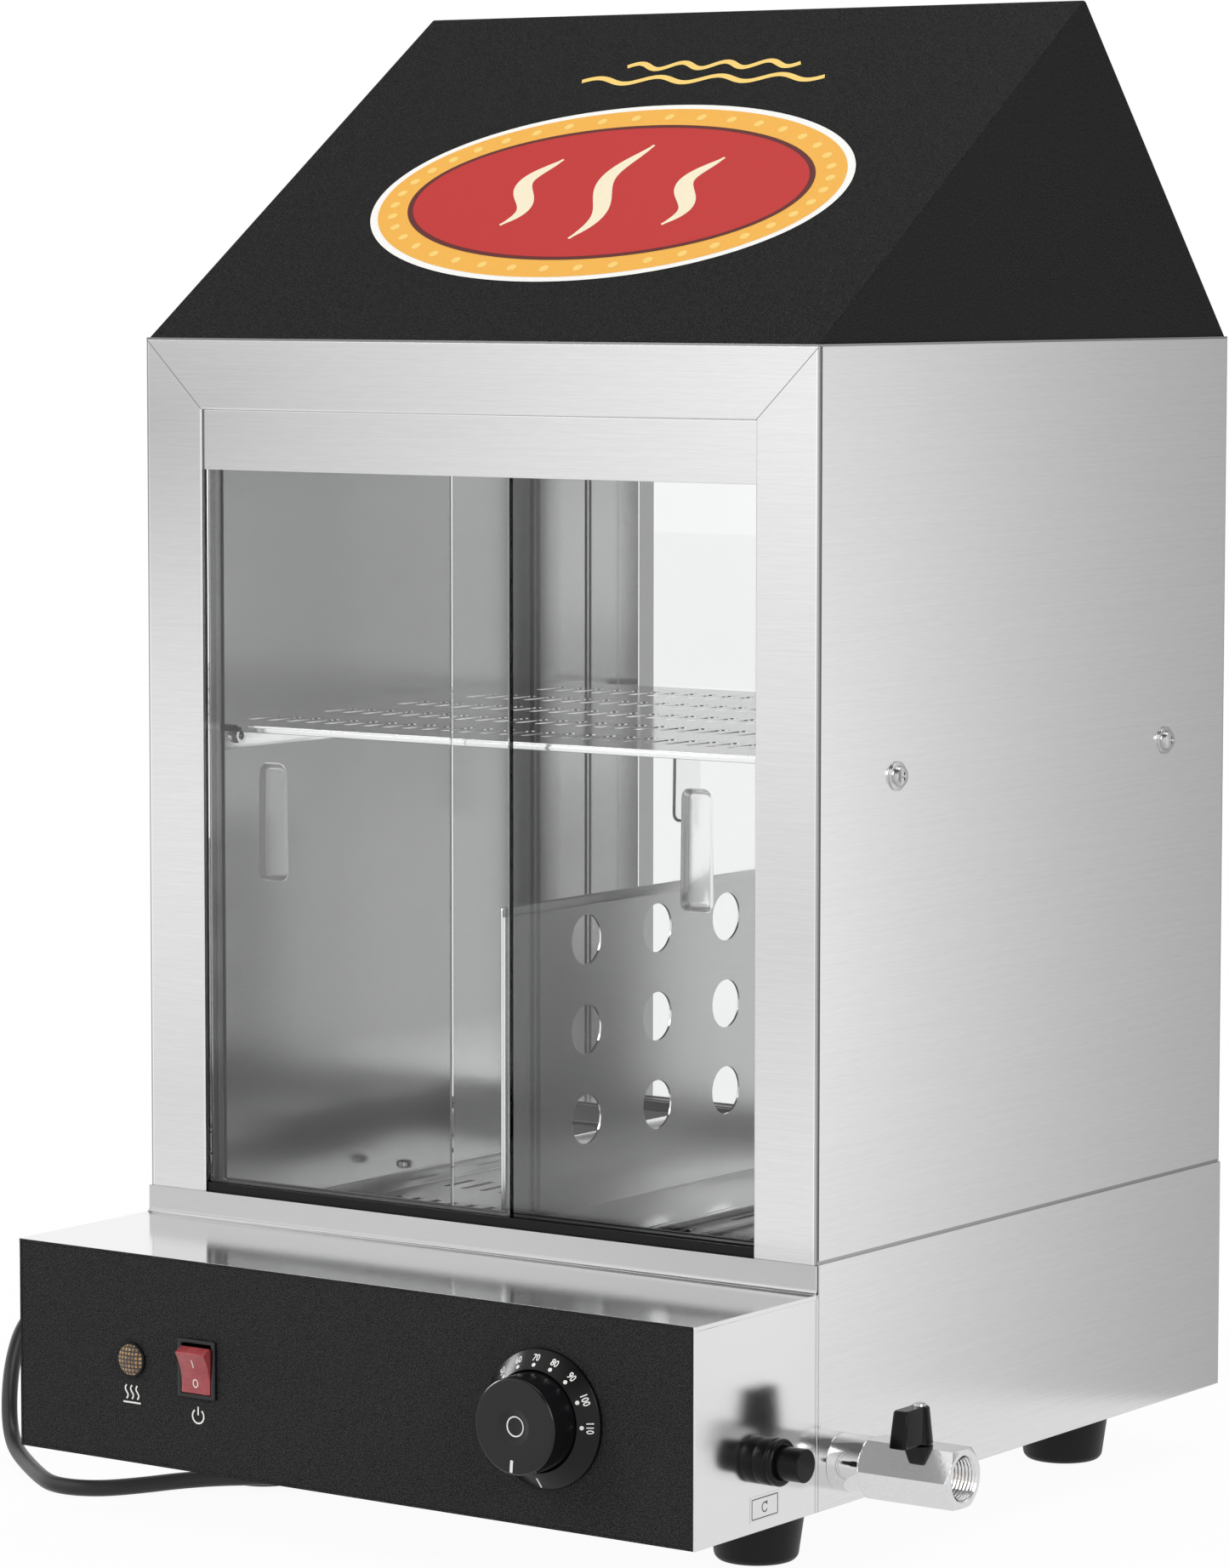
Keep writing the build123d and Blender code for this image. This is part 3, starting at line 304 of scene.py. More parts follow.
def moulded(name, colour, rough, strength=0.1, shine=0.5):
    """Moulded plastic or rubber with faint mould texture."""
    m = recipe(name)
    grit = m.noise(1800)
    m.finish(Base_Color=m.clouded(m.noise(60), colour, 0.85), Specular_IOR_Level=shine,
             Roughness=m.level(grit, rough - 0.05, rough + 0.06),
             Normal=m.bump(grit, strength, edge=0.0003))


def metal(name, colour, rough):
    """Plated or turned metal."""
    m = recipe(name)
    fine = m.noise(700)
    m.finish(Base_Color=m.clouded(fine, colour, 0.94), Metallic=1.0,
             Roughness=m.level(m.noise(30), rough, rough + 0.03),
             Normal=m.bump(fine, 0.04, edge=0.0002))


def acrylic(name, colour, grain, darker, clearness, rough):
    """Acrylic with the faintest cloud of tint; rough where it was milled and flame-dulled."""
    m = recipe(name)
    m.finish(Base_Color=m.clouded(m.noise(grain), colour, darker, 0.35, 0.65), IOR=1.47,
             Roughness=m.level(m.noise(1500), rough - 0.05, rough + 0.05) if rough else 0.0,
             Transmission_Weight=clearness)


def printed(name, colour):
    """Printed ink with the faint tooth of the paint below."""
    m = recipe(name)
    grit = m.noise(1500, 2, 0.55)
    m.finish(Base_Color=m.clouded(m.noise(2600, 1), colour, 0.9, 0.35, 0.6),
             Roughness=m.level(grit, 0.42, 0.52), Normal=m.bump(grit, 0.3, 0.0003))


def red_lens(name):
    """Translucent red rocker: a little light passes through the moulding."""
    m = recipe(name)
    cloud = m.ramp(m.noise(160), [(0.3, (0.31, 0.042, 0.050)), (0.7, (0.40, 0.060, 0.068))])
    m.finish(Base_Color=cloud, Roughness=m.level(m.noise(900), 0.24, 0.32),
             Subsurface_Weight=0.3, Subsurface_Scale=0.003, Coat_Weight=0.3)


def amber_lens(name):
    """Dark signal lens with a square-cut back: a grid of small gold cells."""
    m = recipe(name)
    cell = 0.0019
    upright = m.value("Mapping", Vector=m.coords["Object"], Rotation=(math.radians(-90), 0, 0))
    cells = m.put("TexBrick", offset=0.0, Vector=upright, Scale=1.0,
                  Color1=(0.50, 0.27, 0.09, 1), Color2=(0.13, 0.065, 0.022, 1),
                  Mortar=(0.012, 0.008, 0.005, 1), Mortar_Size=cell * 0.24, Mortar_Smooth=0.3,
                  Bias=-0.1, Brick_Width=cell, Row_Height=cell).outputs
    m.finish(Base_Color=cells["Color"], Roughness=m.level(m.noise(500), 0.1, 0.16),
             Normal=m.bump(cells["Fac"], 0.4, 0.0004), Coat_Weight=0.6)


# painted highlights along each frame's outer folds and top edge, with a half-dark painted line
# beside each side fold
frame_edge_light_and_shade = [(0, 188.6, 189.2, 1.0), (0, 189.2, 190.1, 0.5), (2, 513.2, 515.0, 1.0)]
# inside the chamber the frames take painted shade, deep on the front frame's jambs and slight on
# the rear frame
for name, grain, inside_shade_tone in (("steel_frame", "x", 0.22), ("steel_rear", "z", 0.76)):
    brushed_steel(name, grain, light_and_shade_lines=frame_edge_light_and_shade,
                  inner=(1, half_depth, half_depth - 0.5, inside_shade_tone))
# a painted highlight along the fascia's top edge
brushed_steel("steel_front", "x", light_and_shade_lines=[(2, 480.5, 481.3, 1.0)])
# along the box's edge at the cabinet's front face a painted shade line, then a painted highlight
brushed_steel("steel_box", "x", tone=0.84, rough=0.11, spread=0.02,
              light_and_shade_lines=[(1, -1.6, -0.3, 0.66), (1, -0.3, 0.4, 1.0)])
# inside the chamber the side panels take painted shade, lighter towards the rear and the foot,
# with a painted dark line and a painted bright line at the rear frame
brushed_steel("steel_side", "y", inner=(0, 0, cabinet_half - 0.5, 0.35),
              light_and_shade_rises=[(1, 316, 334, 0.42), (1, 354.6, 355.0, -0.72), (1, 356.8, 357.2, 0.75),
                     (2, 255, 330, -0.05), (2, 165, 125, 0.3)],
              # a painted highlight on the front fold, a painted shade line beside it, and painted
              # shade along the joint with the base
              light_and_shade_lines=[(1, 0, 1.3, 1.0), (1, 1.3, 2.8, 0.12), (2, 110.2, 111.8, 0.42)])
# a painted highlight along the base's front fold, then a painted shade line
brushed_steel("steel_base", "y", rough=0.13, light_and_shade_lines=[(1, 0, 0.5, 1.0), (1, 0.5, 1.8, 0.6)])
# the ceiling, deck and tank inside the chamber are painted dark as painted shade, the tank
# darkest, under the tray
polished_steel("steel_inner", 0.34, 0.2)
polished_steel("steel_deck", 0.2, 0.12)
polished_steel("steel_tank", 0.05, 0.3)
# painted shade on the shelf's and divider's faces, painted highlights on their cut edges and hems
cut_sheet("steel_shelf", 2, 0.16, 0.95, 0.13)
cut_sheet("steel_divider", 0, 0.52, 0.92, 0.22)
metal("zinc", (0.62, 0.62, 0.63), 0.09)
metal("chrome", (0.82, 0.82, 0.83), 0.05)
metal("brass", (0.72, 0.50, 0.20), 0.14)
textured_black("canopy_black", 0.032, 1700, 0.5, 0.55)
textured_black("panel_black", 0.058, 1900, 0.8, 0.52)
moulded("track_black", (0.007, 0.007, 0.008), 0.34, shine=0.2)
moulded("control_black", (0.005, 0.005, 0.006), 0.22, shine=0.2)
moulded("gloss_black", (0.005, 0.005, 0.006), 0.16, strength=0.03)
moulded("ring_black", (0.004, 0.004, 0.005), 0.22, strength=0.06, shine=0.25)
moulded("knob_black", (0.006, 0.006, 0.007), 0.2, strength=0.04, shine=0.4)
moulded("rubber", (0.005, 0.005, 0.006), 0.42, strength=0.25, shine=0.25)
moulded("cord_black", (0.012, 0.012, 0.015), 0.36)
acrylic("pane_clear", (0.99, 0.995, 0.995), 9, 0.985, 1.0, 0.0)
acrylic("well_frosted", (0.97, 0.975, 0.975), 900, 0.96, 0.9, 0.15)
red_lens("rocker_red")
amber_lens("lamp_amber")
printed("ink_white", (0.86, 0.85, 0.82))
printed("ink_grey", (0.12, 0.12, 0.13))
printed("ink_cream", (0.86, 0.76, 0.55))
printed("ink_gold", (0.83, 0.42, 0.055))
printed("ink_yellow", (0.88, 0.60, 0.16))
printed("ink_red", (0.50, 0.018, 0.016))
printed("ink_maroon", (0.11, 0.012, 0.010))


# ---- mesh building

def placed(name, data):
    """A new object of the scene."""
    thing = bpy.data.objects.new(name, data)
    bpy.context.scene.collection.objects.link(thing)
    return thing


def add_piece(name, shapes, look, stands_for=(), body="cabinet", smooth=35):
    """Add a mesh, or several as one, as a piece of the scene on its body, with its look."""
    mesh = joined(shapes) if isinstance(shapes, list) else shapes
    mesh.name = name
    wear(mesh, look)
    if smooth:
        mesh.shade_smooth()
        mesh.set_sharp_from_angle(angle=math.radians(smooth))
    piece = placed(name, mesh)
    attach(piece, body)
    if stands_for:
        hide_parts(*stands_for)
    return piece


def mesh_of(bm):
    """Mesh of a bmesh, which is freed."""
    mesh = bpy.data.meshes.new("shape")
    bm.to_mesh(mesh)
    bm.free()
    return mesh


def shape(build):
    """Turn a function that fills a bmesh into one that returns a mesh."""
    def built(*values):
        bm = bmesh.new()
        build(bm, *values)
        bmesh.ops.recalc_face_normals(bm, faces=bm.faces)
        return mesh_of(bm)

    return built


def joined(meshes):
    """One mesh out of several."""
    bm = bmesh.new()
    for mesh in meshes:
        bm.from_mesh(mesh)
    return mesh_of(bm)


def softened(points, radius, count=4, closed=False):
    """A 2-D line with its corners rounded by arcs of up to the given radius."""
    result = []
    for i, corner in enumerate(points):
        here = Vector(corner)
        if not closed and i in (0, len(points) - 1):
            result.append(here)
            continue
        back = Vector(points[i - 1]) - here
        ahead = Vector(points[(i + 1) % len(points)]) - here
        reach = min(radius, back.length * 0.45, ahead.length * 0.45)
        start, end = here + back.normalized() * reach, here + ahead.normalized() * reach
        result += [start * (1 - t) ** 2 + here * 2 * t * (1 - t) + end * t ** 2
                   for t in steps(count)]
    return result


def axis_frame(axis):
    """An axis and two directions square to it."""
    axis = Vector(axis).normalized()
    first = Vector(UP) if abs(axis.z) < 0.5 else Vector(RIGHT)
    second = axis.cross(first).normalized()
    return axis, second.cross(axis), second


def fill(bm, loops):
    """Fill the area within closed loops of vertices."""
    edges = []
    for verts in loops:
        for i in range(len(verts)):
            pair = (verts[i - 1], verts[i])
            edges.append(bm.edges.get(pair) or bm.edges.new(pair))
    bmesh.ops.triangle_fill(bm, use_beauty=True, use_dissolve=False, edges=edges)


def bridge(bm, rings):
    """Faces between closed rings of vertices; a ring may be a single vertex."""
    for low, high in zip(rings, rings[1:]):
        for k in range(max(len(low), len(high))):
            corners = [low[k % len(low)], low[(k + 1) % len(low)],
                       high[(k + 1) % len(high)], high[k % len(high)]]
            bm.faces.new(list(dict.fromkeys(corners)))


@shape
def skin(bm, rings, caps=()):
    """Surface over closed rings of points; caps are the rings that a face closes."""
    loops = [[bm.verts.new(point) for point in ring] for ring in rings]
    bridge(bm, loops)
    for ring in caps:
        bm.faces.new(loops[ring])


def lathe(origin, axis, profile, segments=72, rounding=0.0, count=4):
    """Surface turned round an axis from (distance, radius) points in millimetres."""
    if rounding:
        profile = softened(profile, rounding, count)
    along, first, second = axis_frame(axis)
    start = at(*origin)
    return skin([[start + along * distance * MM + (first * a + second * b) * radius * MM
                  for a, b in circle((0, 0), 1, segments if radius else 1)]
                 for distance, radius in profile])


@shape
def plate(bm, outline, holes, thickness, place):
    """Flat plate with holes; place turns a 2-D point and a depth into a point of the frame."""
    layers = []
    for depth in (0.0, thickness):
        layers.append([[bm.verts.new(place(*point, depth)) for point in loop]
                       for loop in [outline] + holes])
        fill(bm, layers[-1])
    for pair in zip(*layers):
        bridge(bm, pair)


@shape
def flat_shape(bm, outline, place):
    """A single flat face, such as a printed mark."""
    fill(bm, [[bm.verts.new(place(*point)) for point in outline]])


@shape
def ribbon(bm, line, width, place):
    """A flat band along a 2-D line; width is a number or a function of 0 to 1."""
    rows = []
    for i, point in enumerate(line):
        before, after = line[max(i - 1, 0)], line[min(i + 1, len(line) - 1)]
        heading = (Vector(after) - Vector(before)).normalized()
        wide = width(i / (len(line) - 1)) if callable(width) else width
        across = Vector((-heading.y, heading.x)) * wide / 2
        rows.append([bm.verts.new(place(*edge))
                     for edge in (Vector(point) + across, Vector(point) - across)])
    for low, high in zip(rows, rows[1:]):
        bm.faces.new((low[0], low[1], high[1], high[0]))


def rectangle(low, high):
    return [(low[0], low[1]), (high[0], low[1]), (high[0], high[1]), (low[0], high[1])]


def ellipse(centre, half_x, half_y, count):
    return [(centre[0] + half_x * math.cos(t), centre[1] + half_y * math.sin(t))
            for t in steps(count, 0, 2 * math.pi)[:-1]]


def circle(centre, radius, count):
    return ellipse(centre, radius, radius, count)


def bow(centre, half_x, half_y, start, end, count):
    """Part of an ellipse, by its turns clockwise from the top in degrees."""
    return [(centre[0] + half_x * math.sin(t), centre[1] + half_y * math.cos(t))
            for t in steps(count, math.radians(start), math.radians(end))]


def obround(centre, width, length):
    """Slot outline, long along the second direction."""
    radius, straight = width / 2, (length - width) / 2
    return [(centre[0] + end * radius * math.cos(t),
             centre[1] + end * (straight + radius * math.sin(t)))
            for end in (1, -1) for t in steps(8, 0, math.pi)]


@shape
def block(bm, low, high, radius):
    """Box with bevelled edges, from its corners in the cabinet's millimetres."""
    bmesh.ops.create_cube(bm, size=1)
    middle, size = (at(*low) + at(*high)) / 2, at(*high) - at(*low)
    for vert in bm.verts:
        vert.co = vert.co * size + middle
    bmesh.ops.bevel(bm, geom=list(bm.edges), offset=radius * MM, segments=3, affect="EDGES",
                    profile=0.5)


def cut(mesh, cutter):
    """The first mesh less the second."""
    body, tool = placed("cut_body", mesh), placed("cut_tool", cutter)
    boolean = body.modifiers.new("cut", "BOOLEAN")
    boolean.object = tool
    boolean.operation = "DIFFERENCE"
    boolean.solver = "EXACT"
    bpy.context.view_layer.update()
    result = bpy.data.meshes.new_from_object(
        body.evaluated_get(bpy.context.evaluated_depsgraph_get()))
    for thing in (body, tool):
        bpy.data.objects.remove(thing)
    return result


# ---- sheet metal: CAD nodes with their finishes

finishes = {
    "steel_frame": "front_frame",
    "steel_rear": "rear_frame",
    "steel_front": "front_fascia rear_fascia",
    "steel_box": "control_box_shell",
    "steel_side": "side_panel_left side_panel_right",
    "steel_base": "base_shell bottom_plate",
    "steel_inner": "ceiling_plate",
    "steel_tank": "water_tank",
    "steel_deck": "deck",
    "zinc": "shelf_nuts element_nuts foot_screws thermostat_bulb heating_element "
            "thermostat_spindle valve_stem deck_screws lever_screw",
    "canopy_black": "canopy",
    "panel_black": "control_panel",
    "track_black": "front_bottom_track front_top_track rear_bottom_track rear_top_track",
    "control_black": "thermostat_body limiter_body terminal_block coil_tie",
}
for look, members in finishes.items():
    for member in members.split():
        nodes[member].data.materials.clear()
        wear(nodes[member].data, look)
# the pins wear the brass that came with the frame
nodes["plug_pins"].data.materials[0] = bpy.data.materials["brass"]


# ---- slotted shelf and tray

def slotted_sheet(name, node, half, front, back, top, columns, pitch, end_hem, side_hem):
    """Sheet with rows of slots; each hem is (low, high, edge radius) from the sheet's top."""
    centres = [((column - (columns - 1) / 2) * pitch,
                half_depth + (row - (slot_rows - 1) / 2) * slot_row_pitch)
               for row in range(slot_rows) for column in range(columns)]
    thick = 1.0
    shapes = [plate(rectangle((-half, front), (half, back)),
                    [obround(centre, slot_width, slot_length) for centre in centres], thick,
                    lambda x, y, depth: at(x, y, top - depth))]
    low, high, radius = end_hem
    for near, far in ((front, front + thick), (back - thick, back)):
        shapes.append(block((-half, near, top + low), (half, far, top + high), radius))
    low, high, radius = side_hem
    for side in (-1, 1):
        left, right = span(side, half, half - thick)
        shapes.append(block((left, front, top + low), (right, back, top + high), radius))
    add_piece(name, shapes, "steel_shelf", [node])


def make_divider():
    """Perforated plate with hems and a foot."""
    front, back, bottom, top = 28.8, 331.2, 104.7, 254.0
    hem, thick, foot, hole = 5.0, 1.6, 66.5, 11.75
    middle, pitch = (180.95, 190.15), (58.3, 42.65)
    holes = [circle((middle[0] + i * pitch[0], middle[1] + k * pitch[1]), hole, 56)
             for i in (-1.5, -0.5, 0.5, 1.5) for k in (-1, 0, 1)]
    wall = plate(softened(rectangle((front, bottom), (back, top)), 1.5, closed=True), holes, 1.0,
                 lambda y, z, depth: at(-depth, y, z))
    blocks = [((-0.2, front, top - hem), (thick, back, top), 0.5),
              ((-0.2, front, bottom), (thick, front + hem, top), 0.5),
              ((-0.2, back - hem, bottom), (thick, back, top), 0.5),
              ((-0.5, front, bottom), (foot, back, bottom + 1), 0.3),
              ((foot - hem, front, bottom + 0.5), (foot, back, bottom + 1 + thick), 0.5)]
    add_piece("divider_plate", [wall] + [block(*sizes) for sizes in blocks], "steel_divider",
              ["divider"], "divider_plate")


# ---- panes

def well_outline(x, inset):
    """Outline of a finger well, drawn in by inset: rounded, and a little wider at its foot."""
    top, foot = (width / 2 - inset for width in well_widths)
    high, low = well_middle + well_length / 2 - inset, well_middle - well_length / 2 + inset
    corners = [(x - foot, low), (x + foot, low), (x + top, high), (x - top, high)]
    return softened(corners, max(well_corner - inset, 2.0), 8, True)


@shape
def pane_mesh(bm, low_x, high_x, front_y, well_x, facing):
    """Clear pane with softened edges and a finger well in its outer face."""
    low_z, high_z = pane_range
    edge, well_depth, well_slope = 0.5, 1.75, 3.4

    def ring(loop, depth):
        return [bm.verts.new(at(x, front_y + facing * depth, z)) for x, z in loop]

    face = rectangle((low_x + edge, low_z + edge), (high_x - edge, high_z - edge))
    side = rectangle((low_x, low_z), (high_x, high_z))
    outer = [ring(face, 0), ring(side, edge), ring(side, pane_thickness - edge),
             ring(face, pane_thickness)]
    bridge(bm, outer)
    wells = [ring(well_outline(well_x, well_slope * t), well_depth * t * t * (3 - 2 * t))
             for t in steps(8)]
    fill(bm, [outer[0], wells[0]])
    fill(bm, [outer[-1]])
    clear = set(bm.faces)
    bridge(bm, wells)
    fill(bm, [wells[-1]])
    for well_face in set(bm.faces) - clear:
        well_face.material_index = 1
        well_face.smooth = True


def make_panes():
    gap, overlap, track_step = 0.2, 20.0, 10.0
    for end, facing, outer_face in (("front", 1, 3.0), ("rear", -1, 357.0)):
        for side, name in ((-1, "left"), (1, "right")):
            low, high = sorted((side * (opening_half[end] - gap), -side * (overlap + gap)))
            face = outer_face + (0 if side == -facing else facing * track_step)
            mesh = pane_mesh(low, high, face, side * well_offset, facing)
            pane = add_piece(f"{end}_{name}_sheet", mesh, "pane_clear",
                             [f"{end}_{name}_pane"], f"{end}_{name}_door", smooth=0)
            wear(pane.data, "well_frosted")


# ---- screws

def cross_cutters(origin, axis, reach, depth, half_width):
    """The two tapered bars of a cross recess, opening towards the axis."""
    along, first, second = axis_frame(axis)
    start = at(*origin)
    levels = ((0.6, reach, half_width), (-depth, reach * 0.35, half_width * 0.6))
    return [skin([[start + (along * up + one * a * long_half + two * b * wide_half) * MM
                   for a, b in rectangle((-1, -1), (1, 1))]
                  for up, long_half, wide_half in levels], (0, -1))
            for one, two in ((first, second), (second, first))]


def pan_head_screw(origin, axis, washer):
    """Screw head with a cross recess, on a washer where one is asked for."""
    base, head_radius, height = (1.0, 4.6, 3.2) if washer else (0.0, 4.2, 2.4)
    top = base + height
    dome = [(base - 0.3, 0), (base - 0.3, head_radius), (base, head_radius),
            (base + 1.1, head_radius), (top - 1.0, head_radius * 0.93),
            (top - 0.35, head_radius * 0.72), (top - 0.05, head_radius * 0.4), (top, 0)]
    head = lathe(origin, axis, dome, 48)
    for bar in cross_cutters(Vector(origin) + Vector(axis) * (top - 0.1), axis, 2.5, 2.0, 0.55):
        head = cut(head, bar)
    if not washer:
        return [head]
    ring = [(0, 2.0), (0, 6.65), (1.0, 6.65), (1.0, 2.0)]
    return [head, lathe(origin, axis, ring, 64, 0.25, 2)]


def make_screws():
    shelf_places, shelf_height = (64.4, 302.8), 322.0
    deck_offset, deck_height = 174.6, 99.0
    on_walls, on_deck = [], []
    for side in (-1, 1):
        for y in shelf_places:
            on_walls += pan_head_screw((side * cabinet_half, y, shelf_height), (side, 0, 0), True)
        on_deck += pan_head_screw((side * deck_offset, half_depth, deck_height), UP, False)
    add_piece("shelf_screw_heads", on_walls, "zinc", ["shelf_screws"])
    add_piece("deck_screw_heads", on_deck, "zinc", ["deck_screws"])


# ---- controls

def on_panel(x, z, lift=0.08):
    """A point on the control panel's face."""
    return at(x, box_front - lift, z)


def on_box(place, sunk=0.0):
    """Origin of a part turned round a line that stands out from the control box."""
    return (place[0], box_front - sunk, place[1])


def make_lamp():
    rim = [(0, 6.2), (0, 8.25), (1.3, 8.25), (1.6, 7.6), (1.2, 6.9), (0.6, 6.9)]
    dome = [(0.0, 7.4), (1.2, 7.4), (1.9, 6.8), (2.5, 5.6), (2.9, 3.8), (3.1, 2.0), (3.15, 0)]
    place = on_box(lamp)
    add_piece("lamp_rim", lathe(place, FRONT, rim, 72, 0.3, 3), "control_black")
    add_piece("lamp_lens", lathe(place, FRONT, dome), "lamp_amber", ["pilot_lamp"])


def make_switch():
    """Glossy frame of the switch with its deep well."""
    half_x, half_z, well_x, well_z, proud, bottom = 11.1, 13.6, 8.6, 11.6, 1.6, -12.0
    frame_steps = [(half_x, half_z, 0.0, 1.2), (half_x, half_z, proud - 0.6, 1.2),
                   (half_x - 0.2, half_z - 0.2, proud - 0.2, 1.1),
                   (half_x - 0.6, half_z - 0.6, proud, 0.9),
                   (well_x + 0.45, well_z + 0.45, proud, 0.5),
                   (well_x + 0.1, well_z + 0.1, proud - 0.25, 0.4),
                   (well_x, well_z, proud - 0.7, 0.4), (well_x, well_z, bottom, 0.4)]
    rings = [[at(switch[0] + p.x, box_front - out, switch[1] + p.y)
              for p in softened(rectangle((-wide, -high), (wide, high)), corner, 5, True)]
             for wide, high, out, corner in frame_steps]
    add_piece("switch_frame", skin(rings, (-1,)), "gloss_black",
              ["switch_bezel"])


rocker_half = 8.3
rocker_ridge = (7.0, 9.9)
rocker_dip = 5.3
rocker_pivot = -92.0
rocker_lean = math.radians(14.0)


def rocker_face(up):
    """How far the rocker's dished face stands out from its pivot, at a height on it."""
    ridge_out, ridge_up = rocker_ridge
    sag = ridge_out - rocker_dip
    radius = (ridge_up ** 2 + sag ** 2) / (2 * sag)
    return rocker_dip + radius - math.sqrt(radius ** 2 - up ** 2)


def on_rocker(x, out, up):
    """A point of the rocker at rest, its upper half standing out."""
    y = rocker_pivot - (out * math.cos(rocker_lean) + up * math.sin(rocker_lean))
    z = switch[1] + up * math.cos(rocker_lean) - out * math.sin(rocker_lean)
    return at(switch[0] + x, y, z)


def make_rocker():
    """Red rocker with rounded edges, and the on and off signs on its face."""
    ridge_up = rocker_ridge[1]
    face = [(rocker_face(up), up) for up in steps(16, ridge_up, -ridge_up)]
    ends = [(2.0, -11.2), (-1.0, -8.8), (-4.2, -5.5), (-5.4, 0), (-4.2, 5.5), (-1.0, 8.8),
            (2.0, 11.2)]
    outline = softened(face + ends, 0.55, 4, True)
    half, edge = rocker_half, 0.45
    rows = []
    for x, shrink in ((-half, edge), (-half + 0.13, edge * 0.4), (-half + edge, 0),
                      (half - edge, 0), (half - 0.13, edge * 0.4), (half, edge)):
        rows.append([on_rocker(x, *(p * (1 - shrink / p.length))) for p in outline])
    add_piece("rocker_cap", skin(rows, (0, -1)), "rocker_red", ["power_rocker"],
              "rocker", 30)

    def on_face(x, up):
        return on_rocker(x, rocker_face(up) + 0.04, up)

    marks = [ribbon([(0, up) for up in steps(6, 2.3, 6.5)], 0.5, on_face),
             ribbon(bow((0, -5.2), 1.35, 1.75, 0, 360, 40), 0.5, on_face)]
    add_piece("rocker_marks", marks, "ink_white", body="rocker")


def bowl_radius(reach, depth):
    """Radius of the ball that leaves a dimple of this reach and depth."""
    return (reach ** 2 + depth ** 2) / (2 * depth)


def make_dial():
    """Conical scale ring, and the knob with its dimple."""
    top_radius, inner = ring_radius - ring_slope, knob_radius + 0.25
    ring = [(0, ring_radius)] + softened(
        [(0, ring_radius), (ring_edge, ring_radius), (ring_height, top_radius + 0.1),
         (ring_height, inner), (0.4, inner)], 0.35)
    add_piece("scale_ring", lathe(on_box(dial), FRONT, ring, 160), "ring_black",
              ["dial_ring"])
    gap = 0.3
    length = box_front - gap - knob_face
    reach, depth = knob_dimple
    bowl = bowl_radius(reach, depth)
    hollow = [(length - depth + bowl - math.sqrt(bowl ** 2 - r ** 2), r)
              for r in steps(12, reach, 0.0)]
    side = [(0, 0), (0, knob_radius), (length - 0.9, 21.4), (length, 20.5)]
    knob = lathe(on_box(dial, gap), FRONT, side + hollow, 160, 0.55, 5)
    add_piece("knob_body", knob, "knob_black", ["thermostat_knob"], "knob")
    make_dial_marks()
    make_knob_marks()


def on_ring(angle, share, tangent, lift=0.05):
    """A point on the cone: clockwise angle from the top, share of the way in, and side step."""
    radius = ring_radius - ring_slope * share
    out = ring_edge + (ring_height - ring_edge) * share + lift
    x = radius * math.sin(angle) + tangent * math.cos(angle)
    z = radius * math.cos(angle) - tangent * math.sin(angle)
    return at(dial[0] + x, box_front - out, dial[1] + z)


def text_mesh(words, size):
    """Flat mesh of a few figures, centred, one millimetre to the unit."""
    curve = bpy.data.curves.new("figures", "FONT")
    curve.body = words
    curve.size = size
    curve.align_x = "CENTER"
    curve.align_y = "CENTER"
    curve.resolution_u = 3
    curve.offset = 0.02 * size
    thing = placed("figures", curve)
    bpy.context.view_layer.update()
    mesh = bpy.data.meshes.new_from_object(thing)
    bpy.data.objects.remove(thing)
    bpy.data.curves.remove(curve)
    return mesh


def make_dial_marks():
    """Degrees, dots and the off mark of the scale."""
    places = {"30": -91, "40": -68, "50": -45, "60": -23, "70": -2.5, "80": 18.25, "90": 40,
              "100": 64.5, "110": 90.5}
    figure_size, figure_share, narrowing, dot_radius, dot_share = 4.6, 0.44, 0.8, 0.95, 0.78
    cone = math.hypot(ring_slope, ring_height - ring_edge)
    marks = []
    for words, degrees in places.items():
        angle = math.radians(degrees)
        mesh = text_mesh(words, figure_size)
        for vert in mesh.vertices:
            vert.co = on_ring(angle, figure_share - vert.co.y / cone, vert.co.x * narrowing)
        dot = flat_shape(circle((0, 0), dot_radius, 20),
                         lambda s, r: on_ring(angle, dot_share - r / cone, s, 0.12))
        marks += [mesh, dot]
    off = [(0, share * cone) for share in steps(6, 0.9, 0.1)]
    marks.append(ribbon(off, 0.9, lambda s, r: on_ring(math.pi, r / cone, s)))
    add_piece("scale_marks", marks, "ink_white")


def make_knob_marks():
    """Pointer line on the knob's face and the printed ring in its dimple."""
    def on_knob(x, z, sunk=0.0):
        return at(dial[0] + x, knob_face + sunk - 0.03, dial[1] + z)

    reach, depth = knob_dimple
    bowl = bowl_radius(reach, depth)

    def in_dimple(x, z):
        return on_knob(x, z, depth - bowl + math.sqrt(bowl ** 2 - x * x - z * z))

    pointer = math.radians(184)
    line = [(r * math.sin(pointer), r * math.cos(pointer)) for r in steps(5, 14.8, 20.2)]
    marks = [ribbon(line, 1.5, on_knob),
             ribbon(bow((0, 0), 4.3, 4.3, 0, 360, 48), 0.6, in_dimple)]
    add_piece("knob_marks", marks, "ink_white", body="knob")


def make_panel_rim():
    """Painted rim of the panel, which covers the raw edges of the box on three sides."""
    low, high, edge = (-base_half, 0), (base_half - 1.1, box_top - 0.1), 1.2
    hole = rectangle((low[0] + edge, low[1] + edge), (high[0] - 0.1, high[1] - edge))
    rim = plate(rectangle(low, high), [hole], 0.2,
                lambda x, z, depth: at(x, box_front - 0.16 + depth, z))
    add_piece("panel_rim", rim, "panel_black")


